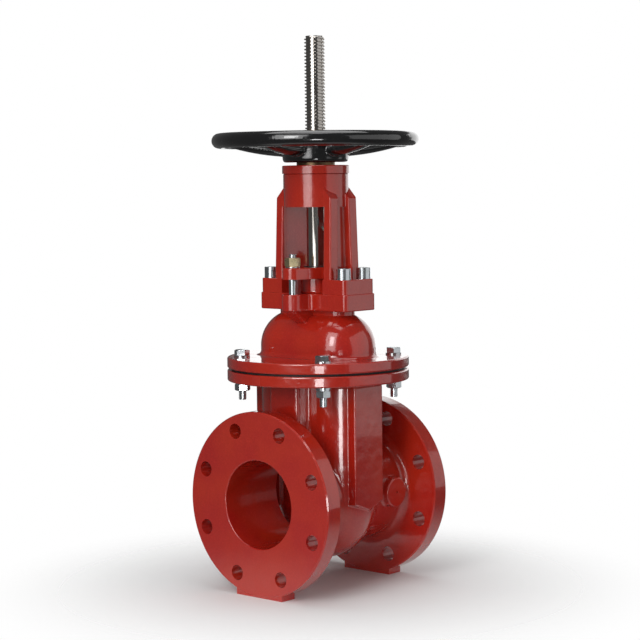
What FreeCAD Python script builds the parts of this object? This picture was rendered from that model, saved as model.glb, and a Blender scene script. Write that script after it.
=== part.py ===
"""Outside-screw-and-yoke gate valve, DN100 (4 in), flanged, resilient wedge, rising stem.

Frame: +X along the pipe axis from inlet to outlet, +Z up the stem, origin on the stem axis
at the level of the feet. Lengths are millimetres. The valve is modelled fully open.
"""
import FreeCAD, Part
import math
import os

Vector = FreeCAD.Vector
X_AXIS = Vector(1, 0, 0)
Y_AXIS = Vector(0, 1, 0)
Z_AXIS = Vector(0, 0, 1)

# ---- pipe flanges (ANSI class 125, 4 in) ----
port_z = 115.0                 # height of the pipe axis above the feet
face_to_face = 228.6
flange_r = 114.3
flange_thick = 23.8
bolt_circle_r = 95.25
bolt_hole_r = 9.525
bolt_holes = 8
bore_r = 54.6
foot_half_y = 37.9
neck_r = 66.0
neck_fillet = 12.0
spot_face_r = 19.0
spot_face_reach = 10.0         # how far the spot facing is cleared back along the neck
flange_edge = 1.5              # chamfer on the flange rims

# ---- body chamber: a stadium in plan, long way across the pipe ----
chamber_r = 45.0               # end radius of the stadium
chamber_straight = 36.5        # half of its straight length
wall = 9.0
rib_low = port_z + 40.0
rib_foot_z = port_z + 70.0     # where the rib runs out on the neck
upper_room_z = port_z + 70.0   # floor of the wide room above the ports
slot_low = port_z - 80.0
rib_half_y = 23.0
rib_half_x = 67.0
panel_half_x = 27.0
panel_reach = 83.0
panel_corner_z = port_z - 4.0
panel_point_z = port_z - 14.0
boss_x = 63.0
boss_r = 19.0
boss_y = -75.0
dimple_r = 1.6
dimple_depth = 2.0
rail_low = port_z - 22.0
rail_top = port_z + 150.0

# ---- body to bonnet joint ----
cover_r = 114.3
body_flange_z = port_z + 145.5
joint_z = port_z + 159.2
gasket_thick = 2.5
gasket_r = 109.0
cover_z = joint_z + gasket_thick
cover_top = cover_z + 13.2
cover_bolt_xy = 67.6
m10_r = 5.0
m10_flats = 17.0
washer_thick = 2.0
spring_thick = 2.2
m10_head = 7.0
m10_nut = 9.0
m10_below_nut = 11.5           # bolt end showing under each cover nut
m10_washer_r = 10.0
m10_spring_r = 9.0
bolt_clearance = 0.5           # radial clearance of every plain bolt hole
bolt_turn_first = 57           # the wrench leaves each head at its own angle, degrees
bolt_turn_step = 37
bolt_nut_turn = 15

# ---- bonnet dome and its top flange ----
dome_z = port_z + 187.0        # centre height of the dome's round
dome_top = dome_z + chamber_r
head_z = port_z + 233.5
head_top = port_z + 254.5
head_half_x = 29.5
head_half_y = 72.0
lug_x = 45.4
lug_r = 14.0
barrel_r = 20.5
barrel_top = port_z + 272.0
bonnet_neck_r = 20.0
bonnet_neck_half = 36.0
bonnet_neck_z = dome_z + 30.0  # webs and neck start inside the dome here
web_half_y = 10.0
web_in_x = 15.0
web_low_x = 33.0
web_out_x = 55.0
stud_hole_floor = head_z + 5.0
screw_hole_floor = head_z + 3.0

# ---- stuffing box ----
box_r = 17.0
bushing_r = 21.0
box_floor = port_z + 236.0
ring_count = 4
ring_height = 4.8
stem_gap = 0.05                # radial running clearance on the stem
bushing_flange = 3.0
follower_r = 19.0
follower_flange = 3.0
gland_z = port_z + 273.0
gland_top = port_z + 287.0
gland_end_r = 13.0
gland_mid_r = 29.0
wiper_r = 16.0
wiper_depth = 4.0
gland_bore_gap = 0.8
gland_washer_r = 9.0
gland_washer_thick = 1.5
gland_nut_height = 11.0
gland_nut_turn = 12
stud_above = 17.0              # stud end above the gland flange

# ---- yoke ----
pad_half_x = 28.6
pad_in = 34.0
pad_out = 70.5
pad_top = port_z + 272.5
screw_x = 19.0
screw_y = 60.0
m12_r = 6.0
m12_head_r = 9.0
m12_head = 12.0
m12_socket = 10.0
m12_washer_r = 9.2
m12_washer_thick = 2.0
screw_relief_r = 9.8           # scallop in the arm beside each screw head
screw_relief = 30.0
tag_screw_x = -19.0
tag_screw_z = port_z + 338.0
tag_screw_r = 3.0
tag_screw_depth = 8.0
tag_head_flats = 10.0
tag_head = 4.5
leg_foot_y = 46.7
leg_top_y = 45.3
leg_foot_x = 28.2
leg_top_x = 24.2
groove_foot_half = 14.0        # half width of the arm's groove at its foot and its top
groove_top_half = 10.5
groove_foot_depth = 9.5
groove_top_depth = 8.0
groove_draft = 3.5
shoulder_z = port_z + 372.0
shoulder_rise = 16.0
shoulder_in_y = 31.0
leg_top_z = shoulder_z + 20.0
collar_r = 41.0
collar_z = port_z + 362.0
collar_top = port_z + 403.3
cap_r = 42.2
cap_top = port_z + 413.6

# ---- stem nut and its bearing ----
journal_r = 20.0
nut_flange_r = 29.0
nut_flange_z = port_z + 388.0
nut_flange_thick = 8.0
thrust_thick = 3.0
nut_neck_r = 24.0
hub_seat_r = 18.0
nut_thread_r = 16.0
nut_play = 0.05
washer_gap = 0.3
thrust_r = nut_flange_r + 0.7
pocket_r = nut_flange_r + 1.0

# ---- handwheel ----
wheel_r = 130.0
rim_section_r = 9.5
rim_z = port_z + 445.0
hub_r = 41.5
hub_z = port_z + 417.0
hub_top = port_z + 443.5
spokes = 5
spoke_start_deg = 41.5
wheel_nut_top = port_z + 456.5
wheel_nut_flats = 46.0
wheel_nut_turn = 10
wheel_washer_r = 27.0
wheel_washer_thick = 2.0
key_half = 3.0

# ---- stem and wedge (two-start left-hand thread, lead 8.4667 mm) ----
travel = 114.3
stem_r = 12.5
thread_r = 12.7
thread_z = port_z + 403.0
stem_top = port_z + 574.0
stem_tip = port_z + 177.0
tenon_r = 11.0
backseat_r = 18.0
backseat_drop = 8.0            # height of the coned collar that seals under the bonnet
pin_r = 2.5
pin_half = 16.0
backseat_z = port_z + 219.0
wedge_z = port_z + travel
seat_half = 22.0               # half gap between the seats at the pipe axis
seat_taper = math.tan(math.radians(5.0))
wedge_r = 59.3
rubber = 2.5
ear_y = 68.0
ear_half_z = 13.0
rail_half_x = 4.0
rail_y = 66.0
boss_half_y = 24.0
wedge_boss_top = wedge_z + 84.0
boss_half_x = 17.0
face_gap = 0.3                 # rubber to seat gap on the modelled faces
iron_ear_half_x = 12.0
rubber_ear_half_x = 14.0
shoe_half_x = 6.5
shoe_in_y = 63.5
shoe_gap = 0.4
nut_half_x = 14.0
nut_half_y = 17.0
stem_slot_half = 13.5
beyond = 100.0                 # half size of the boxes used only for trimming
pocket_z = wedge_z + 62.0
pocket_top = wedge_z + 76.0


# ---------------------------------------------------------------- helpers
def box(x0, x1, y0, y1, z0, z1):
    return Part.makeBox(x1 - x0, y1 - y0, z1 - z0, Vector(x0, y0, z0))


def rod(r, z0, z1, x=0.0, y=0.0):
    return Part.makeCylinder(r, z1 - z0, Vector(x, y, z0), Z_AXIS)


def rod_x(r, x0, x1, y=0.0, z=port_z):
    return Part.makeCylinder(r, x1 - x0, Vector(x0, y, z), X_AXIS)


def rod_y(r, y0, y1, x=0.0, z=port_z):
    return Part.makeCylinder(r, y1 - y0, Vector(x, y0, z), Y_AXIS)


def ring(r_out, r_in, z0, z1, x=0.0, y=0.0):
    return rod(r_out, z0, z1, x, y).cut(rod(r_in, z0 - 1, z1 + 1, x, y))


def prism(points, direction):
    """Extrude a closed outline of straight edges along a vector."""
    outline = Part.makePolygon(points + [points[0]])
    return Part.Face(outline).extrude(direction)


def turned(profile):
    """Revolve (radius, z) points about the stem axis."""
    points = [Vector(r, 0, z) for r, z in profile]
    outline = Part.makePolygon(points + [points[0]])
    return Part.Face(outline).revolve(Vector(0, 0, 0), Z_AXIS, 360)


def hexagon(flats, z0, z1, x=0.0, y=0.0, turn=0.0):
    """A hexagonal prism with its corners chamfered by a cone at both ends."""
    reach = flats / math.sqrt(3)
    corners = []
    for k in range(6):
        angle = math.radians(60 * k + turn)
        corners.append(Vector(x + reach * math.cos(angle), y + reach * math.sin(angle), z0))
    solid = prism(corners, Vector(0, 0, z1 - z0))
    drop = (reach - flats / 2) * 0.6
    lower = Part.makeCone(flats / 2 * 0.97, flats / 2 * 0.97 + (z1 - z0) / 0.6, z1 - z0,
                          Vector(x, y, z0), Z_AXIS)
    upper = Part.makeCone(flats / 2 * 0.97 + (z1 - z0) / 0.6, flats / 2 * 0.97, z1 - z0,
                          Vector(x, y, z0), Z_AXIS)
    return solid.common(lower).common(upper)


def stadium(r, half_straight, z0, z1):
    """A slot-shaped prism, long along Y."""
    solid = box(-r, r, -half_straight, half_straight, z0, z1)
    for side in (-1, 1):
        solid = solid.fuse(rod(r, z0, z1, 0, side * half_straight))
    return solid.removeSplitter()


def rounded_plate(half_x, half_y, corner, z0, z1):
    plate = box(-half_x, half_x, -half_y, half_y, z0, z1)
    return soften(plate, corner, lambda p, e: upright(e))


def soften(solid, radius, wanted):
    """Round the edges whose middle point passes the test."""
    edges = []
    for edge in solid.Edges:
        middle = edge.valueAt((edge.FirstParameter + edge.LastParameter) / 2)
        if wanted(middle, edge):
            edges.append(edge)
    return solid.makeFillet(radius, edges)


def upright(edge):
    return abs(edge.tangentAt((edge.FirstParameter + edge.LastParameter) / 2).z) > 0.95


def from_stem(p):
    return math.hypot(p.x, p.y)


def near(value, target, slack=0.1):
    return abs(value - target) < slack


def corners_xy(dx, dy):
    return [(sx * dx, sy * dy) for sx in (-1, 1) for sy in (-1, 1)]


def save(name, shape):
    if not shape.isValid():
        print("INVALID", name)
    shape.exportStep("parts/" + name + ".step")
    print(name, len(shape.Solids), "solids", round(shape.Volume / 1000, 1), "cm3")


def save_group(name, solids):
    save(name, Part.makeCompound(solids))


# ---------------------------------------------------------------- body
def pipe_end(side):
    """One neck and flange, turned about the pipe axis, with the flange squared off at its foot."""
    back = face_to_face / 2 - flange_thick
    face = face_to_face / 2
    edge = flange_edge
    near = back - neck_fillet
    start = Vector(0, 0, 0)
    mid = neck_fillet * (1 - math.sqrt(0.5))
    lines = [
        Part.makeLine(start, Vector(0, neck_r, 0)),
        Part.makeLine(Vector(0, neck_r, 0), Vector(near, neck_r, 0)),
        Part.Arc(Vector(near, neck_r, 0),
                 Vector(back - mid, neck_r + mid, 0),
                 Vector(back, neck_r + neck_fillet, 0)).toShape(),
        Part.makeLine(Vector(back, neck_r + neck_fillet, 0), Vector(back, flange_r - edge, 0)),
        Part.makeLine(Vector(back, flange_r - edge, 0), Vector(back + edge, flange_r, 0)),
        Part.makeLine(Vector(back + edge, flange_r, 0), Vector(face - edge, flange_r, 0)),
        Part.makeLine(Vector(face - edge, flange_r, 0), Vector(face, flange_r - edge, 0)),
        Part.makeLine(Vector(face, flange_r - edge, 0), Vector(face, 0, 0)),
        Part.makeLine(Vector(face, 0, 0), start),
    ]
    end = Part.Face(Part.Wire(lines)).revolve(start, X_AXIS, 360)
    end.translate(Vector(0, 0, port_z))
    foot = box(back + 0.5, face - 0.5, -foot_half_y, foot_half_y, 0, port_z / 2)
    end = end.fuse(foot)
    for k in range(bolt_holes):
        angle = math.radians(360 / bolt_holes * (k + 0.5))
        y = bolt_circle_r * math.cos(angle)
        z = port_z + bolt_circle_r * math.sin(angle)
        end = end.cut(rod_x(bolt_hole_r, back - 1, face + 1, y, z))
        end = end.cut(rod_x(spot_face_r, back - spot_face_reach, back, y, z))
    if side < 0:
        end = end.mirror(Vector(0, 0, 0), X_AXIS)
    return end


def chamber(r, top):
    """A stadium run down to the pipe axis, then turned under it."""
    upper = stadium(r, chamber_straight, port_z, top)
    tip = chamber_straight + r
    corner_a = Vector(-r, chamber_straight, 0)
    corner_b = Vector(r, chamber_straight, 0)
    edges = [
        Part.makeLine(Vector(-r, 0, 0), corner_a),
        Part.Arc(corner_a, Vector(0, tip, 0), corner_b).toShape(),
        Part.makeLine(corner_b, Vector(r, 0, 0)),
        Part.makeLine(Vector(r, 0, 0), Vector(-r, 0, 0)),
    ]
    lower = Part.Face(Part.Wire(edges)).revolve(Vector(0, 0, 0), X_AXIS, 360)
    lower.translate(Vector(0, 0, port_z))
    lower = lower.common(box(-beyond, beyond, -beyond, beyond, 0, port_z))
    return upper.fuse(lower).removeSplitter()


def label_panel(side):
    """Flat raised panel on a side of the chamber, pointed at its lower end."""
    inner_y = side * chamber_straight
    panel_y = side * panel_reach
    outline = [
        Vector(-panel_half_x, inner_y, body_flange_z + 1),
        Vector(-panel_half_x, inner_y, panel_corner_z),
        Vector(0, inner_y, panel_point_z),
        Vector(panel_half_x, inner_y, panel_corner_z),
        Vector(panel_half_x, inner_y, body_flange_z + 1),
    ]
    panel = prism(outline, Vector(0, panel_y - inner_y, 0))
    return soften(panel, 2.5, lambda p, e: abs(p.y - panel_y) < 0.01 and p.z < body_flange_z)


def casting():
    """Outside of the body: chamber, necks, ribs, boss, panel and top flange, with cast fillets."""
    solid = chamber(chamber_r, body_flange_z + 1)
    solid = solid.fuse([pipe_end(-1), pipe_end(1)]).removeSplitter()
    solid = soften(solid, 10, lambda p, e: 20 < abs(p.x) < chamber_r - 0.1
                   and near(math.hypot(p.y, p.z - port_z), neck_r, 5))
    rib = box(-rib_half_x, rib_half_x, -rib_half_y, rib_half_y, rib_low, body_flange_z + 1)
    rib = soften(rib, 5, lambda p, e: upright(e))
    solid = solid.fuse(rib).removeSplitter()
    solid = soften(solid, 5, lambda p, e: (near(abs(p.x), chamber_r) and near(abs(p.y), rib_half_y))
                   or (rib_low < p.z < rib_foot_z and abs(p.y) <= rib_half_y + 0.01
                       and 40 < abs(p.x) < rib_half_x + 0.1))
    boss = rod_y(boss_r, boss_y, 0, boss_x)
    boss = soften(boss, 2, lambda p, e: p.y < boss_y + 1)
    solid = solid.fuse(boss).removeSplitter()
    solid = soften(solid, 4, lambda p, e: -neck_r - 6 < p.y < -50 and e.Length > 12
                   and near(math.hypot(p.x - boss_x, p.z - port_z), boss_r, 0.2))
    solid = solid.fuse([label_panel(-1), label_panel(1)]).removeSplitter()
    solid = soften(solid, 3, lambda p, e: (near(abs(p.x), panel_half_x) and near(abs(p.y), 72.5, 0.3))
                   or (p.z < port_z and 78 < abs(p.y) < 79.5 and abs(p.x) < 15 and e.Length > 20))
    top = rod(cover_r, body_flange_z, joint_z)
    top = soften(top, 2, lambda p, e: not upright(e))
    solid = solid.fuse(top).removeSplitter()
    return soften(solid, 6, lambda p, e: near(p.z, body_flange_z) and from_stem(p) < cover_r - 5)


def tapered_slab(low, high, axis_z, inset):
    """Wedge-shaped slab between two faces at the seat taper, seat_half apart at axis_z."""
    low_x = seat_half + (low - axis_z) * seat_taper - inset
    high_x = seat_half + (high - axis_z) * seat_taper - inset
    return prism([Vector(-low_x, -beyond, low), Vector(low_x, -beyond, low),
                  Vector(high_x, -beyond, high), Vector(-high_x, -beyond, high)],
                 Vector(0, 2 * beyond, 0))


def valve_body():
    solid = casting()
    # way through, wedge slot with tapered seats, and the wide upper chamber
    ends = face_to_face / 2 + 1
    inner_y = chamber_straight + chamber_r - wall
    high = joint_z + 1
    slot = tapered_slab(slot_low, high, port_z, 0)
    slot = slot.common(chamber(chamber_r - wall, high))
    room = stadium(chamber_r - wall, chamber_straight, upper_room_z, high)
    solid = solid.cut(rod_x(bore_r, -ends, ends))
    solid = soften(solid, 1.5, lambda p, e: near(abs(p.x), face_to_face / 2)
                   and near(math.hypot(p.y, p.z - port_z), bore_r))
    solid = solid.cut(slot).cut(room)
    for side in (-1, 1):
        y0, y1 = sorted((side * rail_y, side * (inner_y + 2)))
        rail = box(-rail_half_x, rail_half_x, y0, y1, rail_low, rail_top)
        solid = solid.fuse(rail)
    for x, y in corners_xy(cover_bolt_xy, cover_bolt_xy):
        solid = solid.cut(rod(m10_r + bolt_clearance, body_flange_z - 1, joint_z + 1, x, y))
    dimple = rod_y(dimple_r, boss_y - 1, boss_y + dimple_depth, boss_x)
    return solid.cut(dimple)


# ---------------------------------------------------------------- bonnet
def bonnet_gasket():
    plate = rod(gasket_r, joint_z, cover_z)
    plate = plate.cut(stadium(chamber_r - wall + 1, chamber_straight, joint_z - 1, cover_z + 1))
    for x, y in corners_xy(cover_bolt_xy, cover_bolt_xy):
        plate = plate.cut(rod(m10_r + bolt_clearance, joint_z - 1, cover_z + 1, x, y))
    return plate


def capsule(r, z):
    """A rounded bar along Y: a cylinder with a ball on each end."""
    solid = rod_y(r, -chamber_straight, chamber_straight, 0, z)
    for side in (-1, 1):
        solid = solid.fuse(Part.makeSphere(r, Vector(0, side * chamber_straight, z)))
    return solid


def bonnet_head():
    """Top flange of the bonnet: two yoke pads and two lugs for the gland studs."""
    solid = rounded_plate(head_half_x, head_half_y, 6, head_z, head_top)
    for side in (-1, 1):
        x0, x1 = sorted((0, side * lug_x))
        lug = rod(lug_r, head_z, head_top, side * lug_x).fuse(
            box(x0, x1, -lug_r, lug_r, head_z, head_top))
        solid = solid.fuse(lug)
    solid = solid.removeSplitter()
    solid = soften(solid, 5, lambda p, e: upright(e) and near(abs(p.x), head_half_x)
                   and near(abs(p.y), lug_r))
    return soften(solid, 1.5, lambda p, e: not upright(e))


def lug_web(side):
    """Web under a gland lug, run down onto the dome."""
    y = -web_half_y
    web = prism([Vector(side * web_in_x, y, bonnet_neck_z), Vector(side * web_low_x, y, bonnet_neck_z),
                 Vector(side * web_out_x, y, head_z - 2), Vector(side * web_out_x, y, head_z + 3),
                 Vector(side * web_in_x, y, head_z + 3)], Vector(0, 2 * web_half_y, 0))
    return soften(web, 5, lambda p, e: web_low_x + 1 < abs(p.x) < web_out_x - 1 and p.z < head_z
                  and near(abs(p.y), web_half_y))


def bonnet():
    plate = soften(rod(cover_r, cover_z, cover_top), 2, lambda p, e: not upright(e))
    dome = stadium(chamber_r, chamber_straight, cover_z + 1, dome_z)
    dome = dome.fuse(capsule(chamber_r, dome_z).common(
        box(-beyond, beyond, -beyond, beyond, dome_z, dome_top + 1)))
    solid = plate.fuse(dome.removeSplitter()).removeSplitter()
    solid = soften(solid, 6, lambda p, e: near(p.z, cover_top) and from_stem(p) < cover_r - 15)
    neck = stadium(bonnet_neck_r, bonnet_neck_half, bonnet_neck_z, head_z + 2)
    barrel = rod(barrel_r, head_top - 2, barrel_top)
    solid = solid.fuse([neck, bonnet_head(), lug_web(-1), lug_web(1), barrel]).removeSplitter()
    solid = soften(solid, 3, lambda p, e: near(p.z, head_top) and near(from_stem(p), barrel_r))
    room = stadium(chamber_r - wall, chamber_straight, cover_z - 1, dome_z)
    room = room.fuse(capsule(chamber_r - wall, dome_z).common(
        box(-beyond, beyond, -beyond, beyond, dome_z, backseat_z + bushing_flange)))
    solid = solid.cut(room).cut(rod(bushing_r + 1, backseat_z - backseat_drop,
                                    backseat_z + bushing_flange))
    solid = solid.cut(rod(box_r, backseat_z, barrel_top + 1))
    for x, y in corners_xy(cover_bolt_xy, cover_bolt_xy):
        solid = solid.cut(rod(m10_r + bolt_clearance, cover_z - 1, cover_top + 1, x, y))
    for x, y in corners_xy(screw_x, screw_y):
        solid = solid.cut(rod(m12_r, screw_hole_floor, head_top + 1, x, y))
    for side in (-1, 1):
        solid = solid.cut(rod(m10_r, stud_hole_floor, head_top + 1, side * lug_x))
    return solid


def bonnet_fasteners():
    bolts = []
    washers = []
    springs = []
    nuts = []
    head = cover_top + washer_thick
    under = body_flange_z - washer_thick - spring_thick
    nut_low = under - m10_nut
    end = nut_low - m10_below_nut
    turn = bolt_turn_first
    for x, y in corners_xy(cover_bolt_xy, cover_bolt_xy):
        shank = rod(m10_r, end, head + 1, x, y)
        shank = shank.makeChamfer(0.8, [e for e in shank.Edges if e.BoundBox.ZMax < end + 0.5])
        bolts.append(shank.fuse(hexagon(m10_flats, head, head + m10_head, x, y, turn)))
        washers.append(ring(m10_washer_r, m10_r, cover_top, head, x, y))
        washers.append(ring(m10_washer_r, m10_r, body_flange_z - washer_thick, body_flange_z, x, y))
        springs.append(split_washer(m10_spring_r, m10_r, under, under + spring_thick, x, y, turn))
        nuts.append(hexagon(m10_flats, nut_low, under, x, y, turn + bolt_nut_turn).cut(
            rod(m10_r, nut_low - 1, under + 1, x, y)))
        turn += bolt_turn_step
    save_group("bonnet_bolts", bolts)
    save_group("bonnet_washers", washers)
    save_group("bonnet_spring_washers", springs)
    save_group("bonnet_nuts", nuts)


def split_washer(r_out, r_in, z0, z1, x, y, turn):
    """A spring lock washer with its narrow slit."""
    washer = ring(r_out, r_in, z0, z1, x, y)
    slit = box(0, r_out + 1, -0.6, 0.6, z0 - 1, z1 + 1)
    slit.rotate(Vector(0, 0, 0), Z_AXIS, turn)
    slit.translate(Vector(x, y, 0))
    return washer.cut(slit)


# ---------------------------------------------------------------- stuffing box and gland
def stuffing_box():
    bore = stem_r + stem_gap
    flange_top = backseat_z + bushing_flange
    save("backseat_bushing", ring(bushing_r, bore, backseat_z, flange_top).fuse(
        ring(box_r, bore, flange_top, box_floor)).removeSplitter())
    for k in range(ring_count):
        z = box_floor + k * ring_height
        save("packing_ring_" + str(k + 1), ring(box_r, bore, z, z + ring_height))
    top = box_floor + ring_count * ring_height
    follower = ring(box_r - 0.1, bore, top, gland_z + 1)
    follower = follower.fuse(ring(follower_r, bore, gland_z, gland_z + follower_flange))
    follower = follower.removeSplitter()
    save("packing_follower", follower)


def gland_flange():
    """Oval two-bolt gland: a round middle drawn out to an ear around each stud."""
    half = math.asin((gland_mid_r - gland_end_r) / lug_x)
    solid = rod(gland_mid_r, gland_z, gland_top)
    for side in (-1, 1):
        solid = solid.fuse(rod(gland_end_r, gland_z, gland_top, side * lug_x))
    web = []
    for x, r in ((lug_x, gland_end_r), (0, gland_mid_r), (-lug_x, gland_end_r)):
        lean = math.copysign(half, x) if x else 0
        web.append(Vector(x + r * math.sin(lean), r * math.cos(lean) if x else r, gland_z))
    for v in reversed(list(web)):
        web.append(Vector(v.x, -v.y, gland_z))
    solid = solid.fuse(prism(web, Vector(0, 0, gland_top - gland_z))).removeSplitter()
    solid = soften(solid, 1.5, lambda p, e: abs(p.z - gland_top) < 0.01)
    solid = solid.cut(rod(follower_r, gland_z - 1, gland_z + follower_flange))
    solid = solid.cut(rod(stem_r + gland_bore_gap, gland_z, gland_top + 1))
    solid = solid.cut(rod(wiper_r, gland_top - wiper_depth, gland_top + 1))
    for side in (-1, 1):
        solid = solid.cut(rod(m10_r + bolt_clearance, gland_z - 1, gland_top + 1, side * lug_x))
    return solid


def gland_fasteners():
    studs = []
    washers = []
    nuts = []
    nut_low = gland_top + gland_washer_thick
    nut_top = nut_low + gland_nut_height
    for side in (-1, 1):
        x = side * lug_x
        stud = rod(m10_r, stud_hole_floor, gland_top + stud_above, x)
        studs.append(stud.makeChamfer(0.8, [e for e in stud.Edges if e.BoundBox.ZMin > gland_top]))
        washers.append(ring(gland_washer_r, m10_r, gland_top, nut_low, x))
        nuts.append(hexagon(m10_flats, nut_low, nut_top, x, 0, gland_nut_turn * side).cut(
            rod(m10_r, gland_top, nut_top + 1, x)))
    save_group("gland_studs", studs)
    save_group("gland_washers", washers)
    save_group("gland_nuts", nuts)


# ---------------------------------------------------------------- yoke
def yoke_leg(side):
    """One yoke arm: pad, tapering arm grooved down its outside, and sloped shoulder."""
    inner = collar_r - 15
    outline = [
        (pad_in, head_top + 1), (leg_foot_y, head_top + 1), (leg_top_y, shoulder_z),
        (shoulder_in_y, shoulder_z + shoulder_rise), (inner, shoulder_z + shoulder_rise),
        (inner, collar_z + 0.5), (pad_in, collar_z + 0.5),
    ]
    side_view = [Vector(-beyond, side * y, z) for y, z in outline]
    front_view = [
        Vector(-leg_foot_x, -beyond, head_top + 1), Vector(leg_foot_x, -beyond, head_top + 1),
        Vector(leg_top_x, -beyond, leg_top_z), Vector(-leg_top_x, -beyond, leg_top_z),
    ]
    arm = prism(side_view, Vector(2 * beyond, 0, 0)).common(
        prism(front_view, Vector(0, 2 * beyond, 0)))
    mouth_y = side * (leg_foot_y + 1)
    sections = []
    for z, mouth, floor_y in ((pad_top - 1, groove_foot_half, leg_foot_y - groove_foot_depth),
                              (leg_top_z, groove_top_half, leg_top_y - groove_top_depth)):
        floor = mouth - groove_draft
        corners = [Vector(-mouth, mouth_y, z), Vector(mouth, mouth_y, z),
                   Vector(floor, side * floor_y, z), Vector(-floor, side * floor_y, z)]
        sections.append(Part.makePolygon(corners + [corners[0]]))
    arm = arm.cut(Part.makeLoft(sections, True, True))
    arm = soften(arm, 2, lambda p, e: upright(e) and e.Length > 80 and abs(p.y) > 30)
    y0, y1 = sorted((side * pad_in, side * pad_out))
    pad = box(-pad_half_x, pad_half_x, y0, y1, head_top, pad_top)
    pad = soften(pad, 6, lambda p, e: upright(e) and near(abs(p.x), pad_half_x)
                 and near(abs(p.y), pad_out))
    leg = arm.fuse(pad).removeSplitter()
    return soften(leg, 1.2, lambda p, e: near(p.z, pad_top, 0.05)
                  and (abs(p.y) > pad_out - 2 or near(abs(p.x), pad_half_x, 0.05)))


def yoke():
    collar = rod(collar_r, collar_z, collar_top)
    solid = collar.fuse([yoke_leg(-1), yoke_leg(1)]).removeSplitter()
    solid = soften(solid, 1.5, lambda p, e: near(p.z, collar_top) and from_stem(p) > collar_r - 1)
    solid = solid.cut(rod(journal_r + nut_play, collar_z - 1, collar_top))
    solid = solid.cut(rod(pocket_r, nut_flange_z - thrust_thick, collar_top + 1))
    for x, y in corners_xy(screw_x, screw_y):
        solid = solid.cut(rod(m12_r + bolt_clearance, head_top - 1, pad_top + 1, x, y))
        solid = solid.cut(rod(screw_relief_r, pad_top, pad_top + screw_relief, x, y))
    return solid.cut(tag_thread())


def tag_thread():
    """Shank of the small tag screw in the inner face of one arm."""
    return rod_y(tag_screw_r, -pad_in - tag_screw_depth, -pad_in, tag_screw_x, tag_screw_z)


def tag_screw():
    """Small hexagon-headed screw that holds a valve tag or a position switch lead."""
    head = hexagon(tag_head_flats, 0, tag_head)
    head.rotate(Vector(0, 0, 0), X_AXIS, -90)
    head.translate(Vector(tag_screw_x, -pad_in, tag_screw_z))
    return tag_thread().fuse(head)


def yoke_fasteners():
    seat = pad_top + m12_washer_thick
    top = seat + m12_head
    screws = []
    washers = []
    for x, y in corners_xy(screw_x, screw_y):
        screw = rod(m12_r, screw_hole_floor, seat + 1, x, y)
        head = rod(m12_head_r, seat, top, x, y)
        head = head.makeFillet(0.8, [e for e in head.Edges if e.BoundBox.ZMin > top - 1])
        socket = hexagon(m12_socket, (seat + top) / 2, top + m12_head / 2, x, y, 15)
        screws.append(screw.fuse(head).cut(socket))
        washers.append(split_washer(m12_washer_r, m12_r, pad_top, seat, x, y, 40 + x + y))
    save_group("yoke_screws", screws)
    save_group("yoke_spring_washers", washers)


def yoke_head():
    low = nut_flange_z - thrust_thick
    flange_top = nut_flange_z + nut_flange_thick
    neck_hole_r = nut_neck_r + washer_gap
    save("lower_thrust_washer", ring(thrust_r, journal_r + washer_gap, low, nut_flange_z))
    save("upper_thrust_washer", ring(thrust_r, neck_hole_r, flange_top, flange_top + thrust_thick))
    cap = ring(cap_r, neck_hole_r, collar_top, cap_top)
    cap = soften(cap, 1.5, lambda p, e: from_stem(p) > cap_r - 1 and p.z > collar_top + 1)
    spigot = ring(pocket_r, neck_hole_r, flange_top + thrust_thick, collar_top + 1)
    save("yoke_cap", cap.fuse(spigot).removeSplitter())


# ---------------------------------------------------------------- handwheel and stem nut
def stem_nut():
    """Threaded sleeve turned by the handwheel, carried by its flange in the yoke."""
    profile = [
        (thread_r + stem_gap, collar_z + 1), (journal_r, collar_z + 1),
        (journal_r, nut_flange_z + nut_play), (nut_flange_r, nut_flange_z + nut_play),
        (nut_flange_r, nut_flange_z + nut_flange_thick - nut_play),
        (nut_neck_r, nut_flange_z + nut_flange_thick - nut_play), (nut_neck_r, hub_z),
        (hub_seat_r, hub_z), (hub_seat_r, hub_top), (nut_thread_r, hub_top),
        (nut_thread_r, wheel_nut_top + 1), (thread_r + stem_gap, wheel_nut_top + 1),
    ]
    return turned(profile).cut(key_block())


def key_block():
    return box(hub_seat_r - key_half, hub_seat_r + key_half, -key_half, key_half, hub_z + 2, hub_top)


def handwheel():
    rim = Part.makeTorus(wheel_r - rim_section_r, rim_section_r, Vector(0, 0, rim_z), Z_AXIS)
    hub = rod(hub_r, hub_z, hub_top)
    hub = hub.makeFillet(4, hub.Edges[:1] + hub.Edges[2:])
    solid = rim.fuse(hub)
    for k in range(spokes):
        spoke = wheel_spoke()
        spoke.rotate(Vector(0, 0, 0), Z_AXIS, spoke_start_deg + 360 / spokes * k)
        solid = solid.fuse(spoke)
    solid = solid.cut(rod(hub_seat_r, hub_z - 1, hub_top + 1))
    return solid.cut(key_block())


def wheel_spoke():
    """Oval arm that leaves the hub low and rises to the rim."""
    stations = ((30, 13.5, 8, hub_z + 15), (50, 12, 7, hub_z + 16), (78, 10, 6, hub_z + 20),
                (102, 9, 5.5, hub_z + 25), (wheel_r - rim_section_r, 9, 5.5, rim_z))
    wires = []
    for radius, half_wide, half_deep, z in stations:
        oval = Part.Ellipse(Vector(0, 0, 0), half_wide, half_deep).toShape()
        wire = Part.Wire([oval])
        wire.rotate(Vector(0, 0, 0), X_AXIS, 90)
        wire.rotate(Vector(0, 0, 0), Z_AXIS, 90)
        wire.translate(Vector(radius, 0, z))
        wires.append(wire)
    return Part.makeLoft(wires, True)


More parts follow.
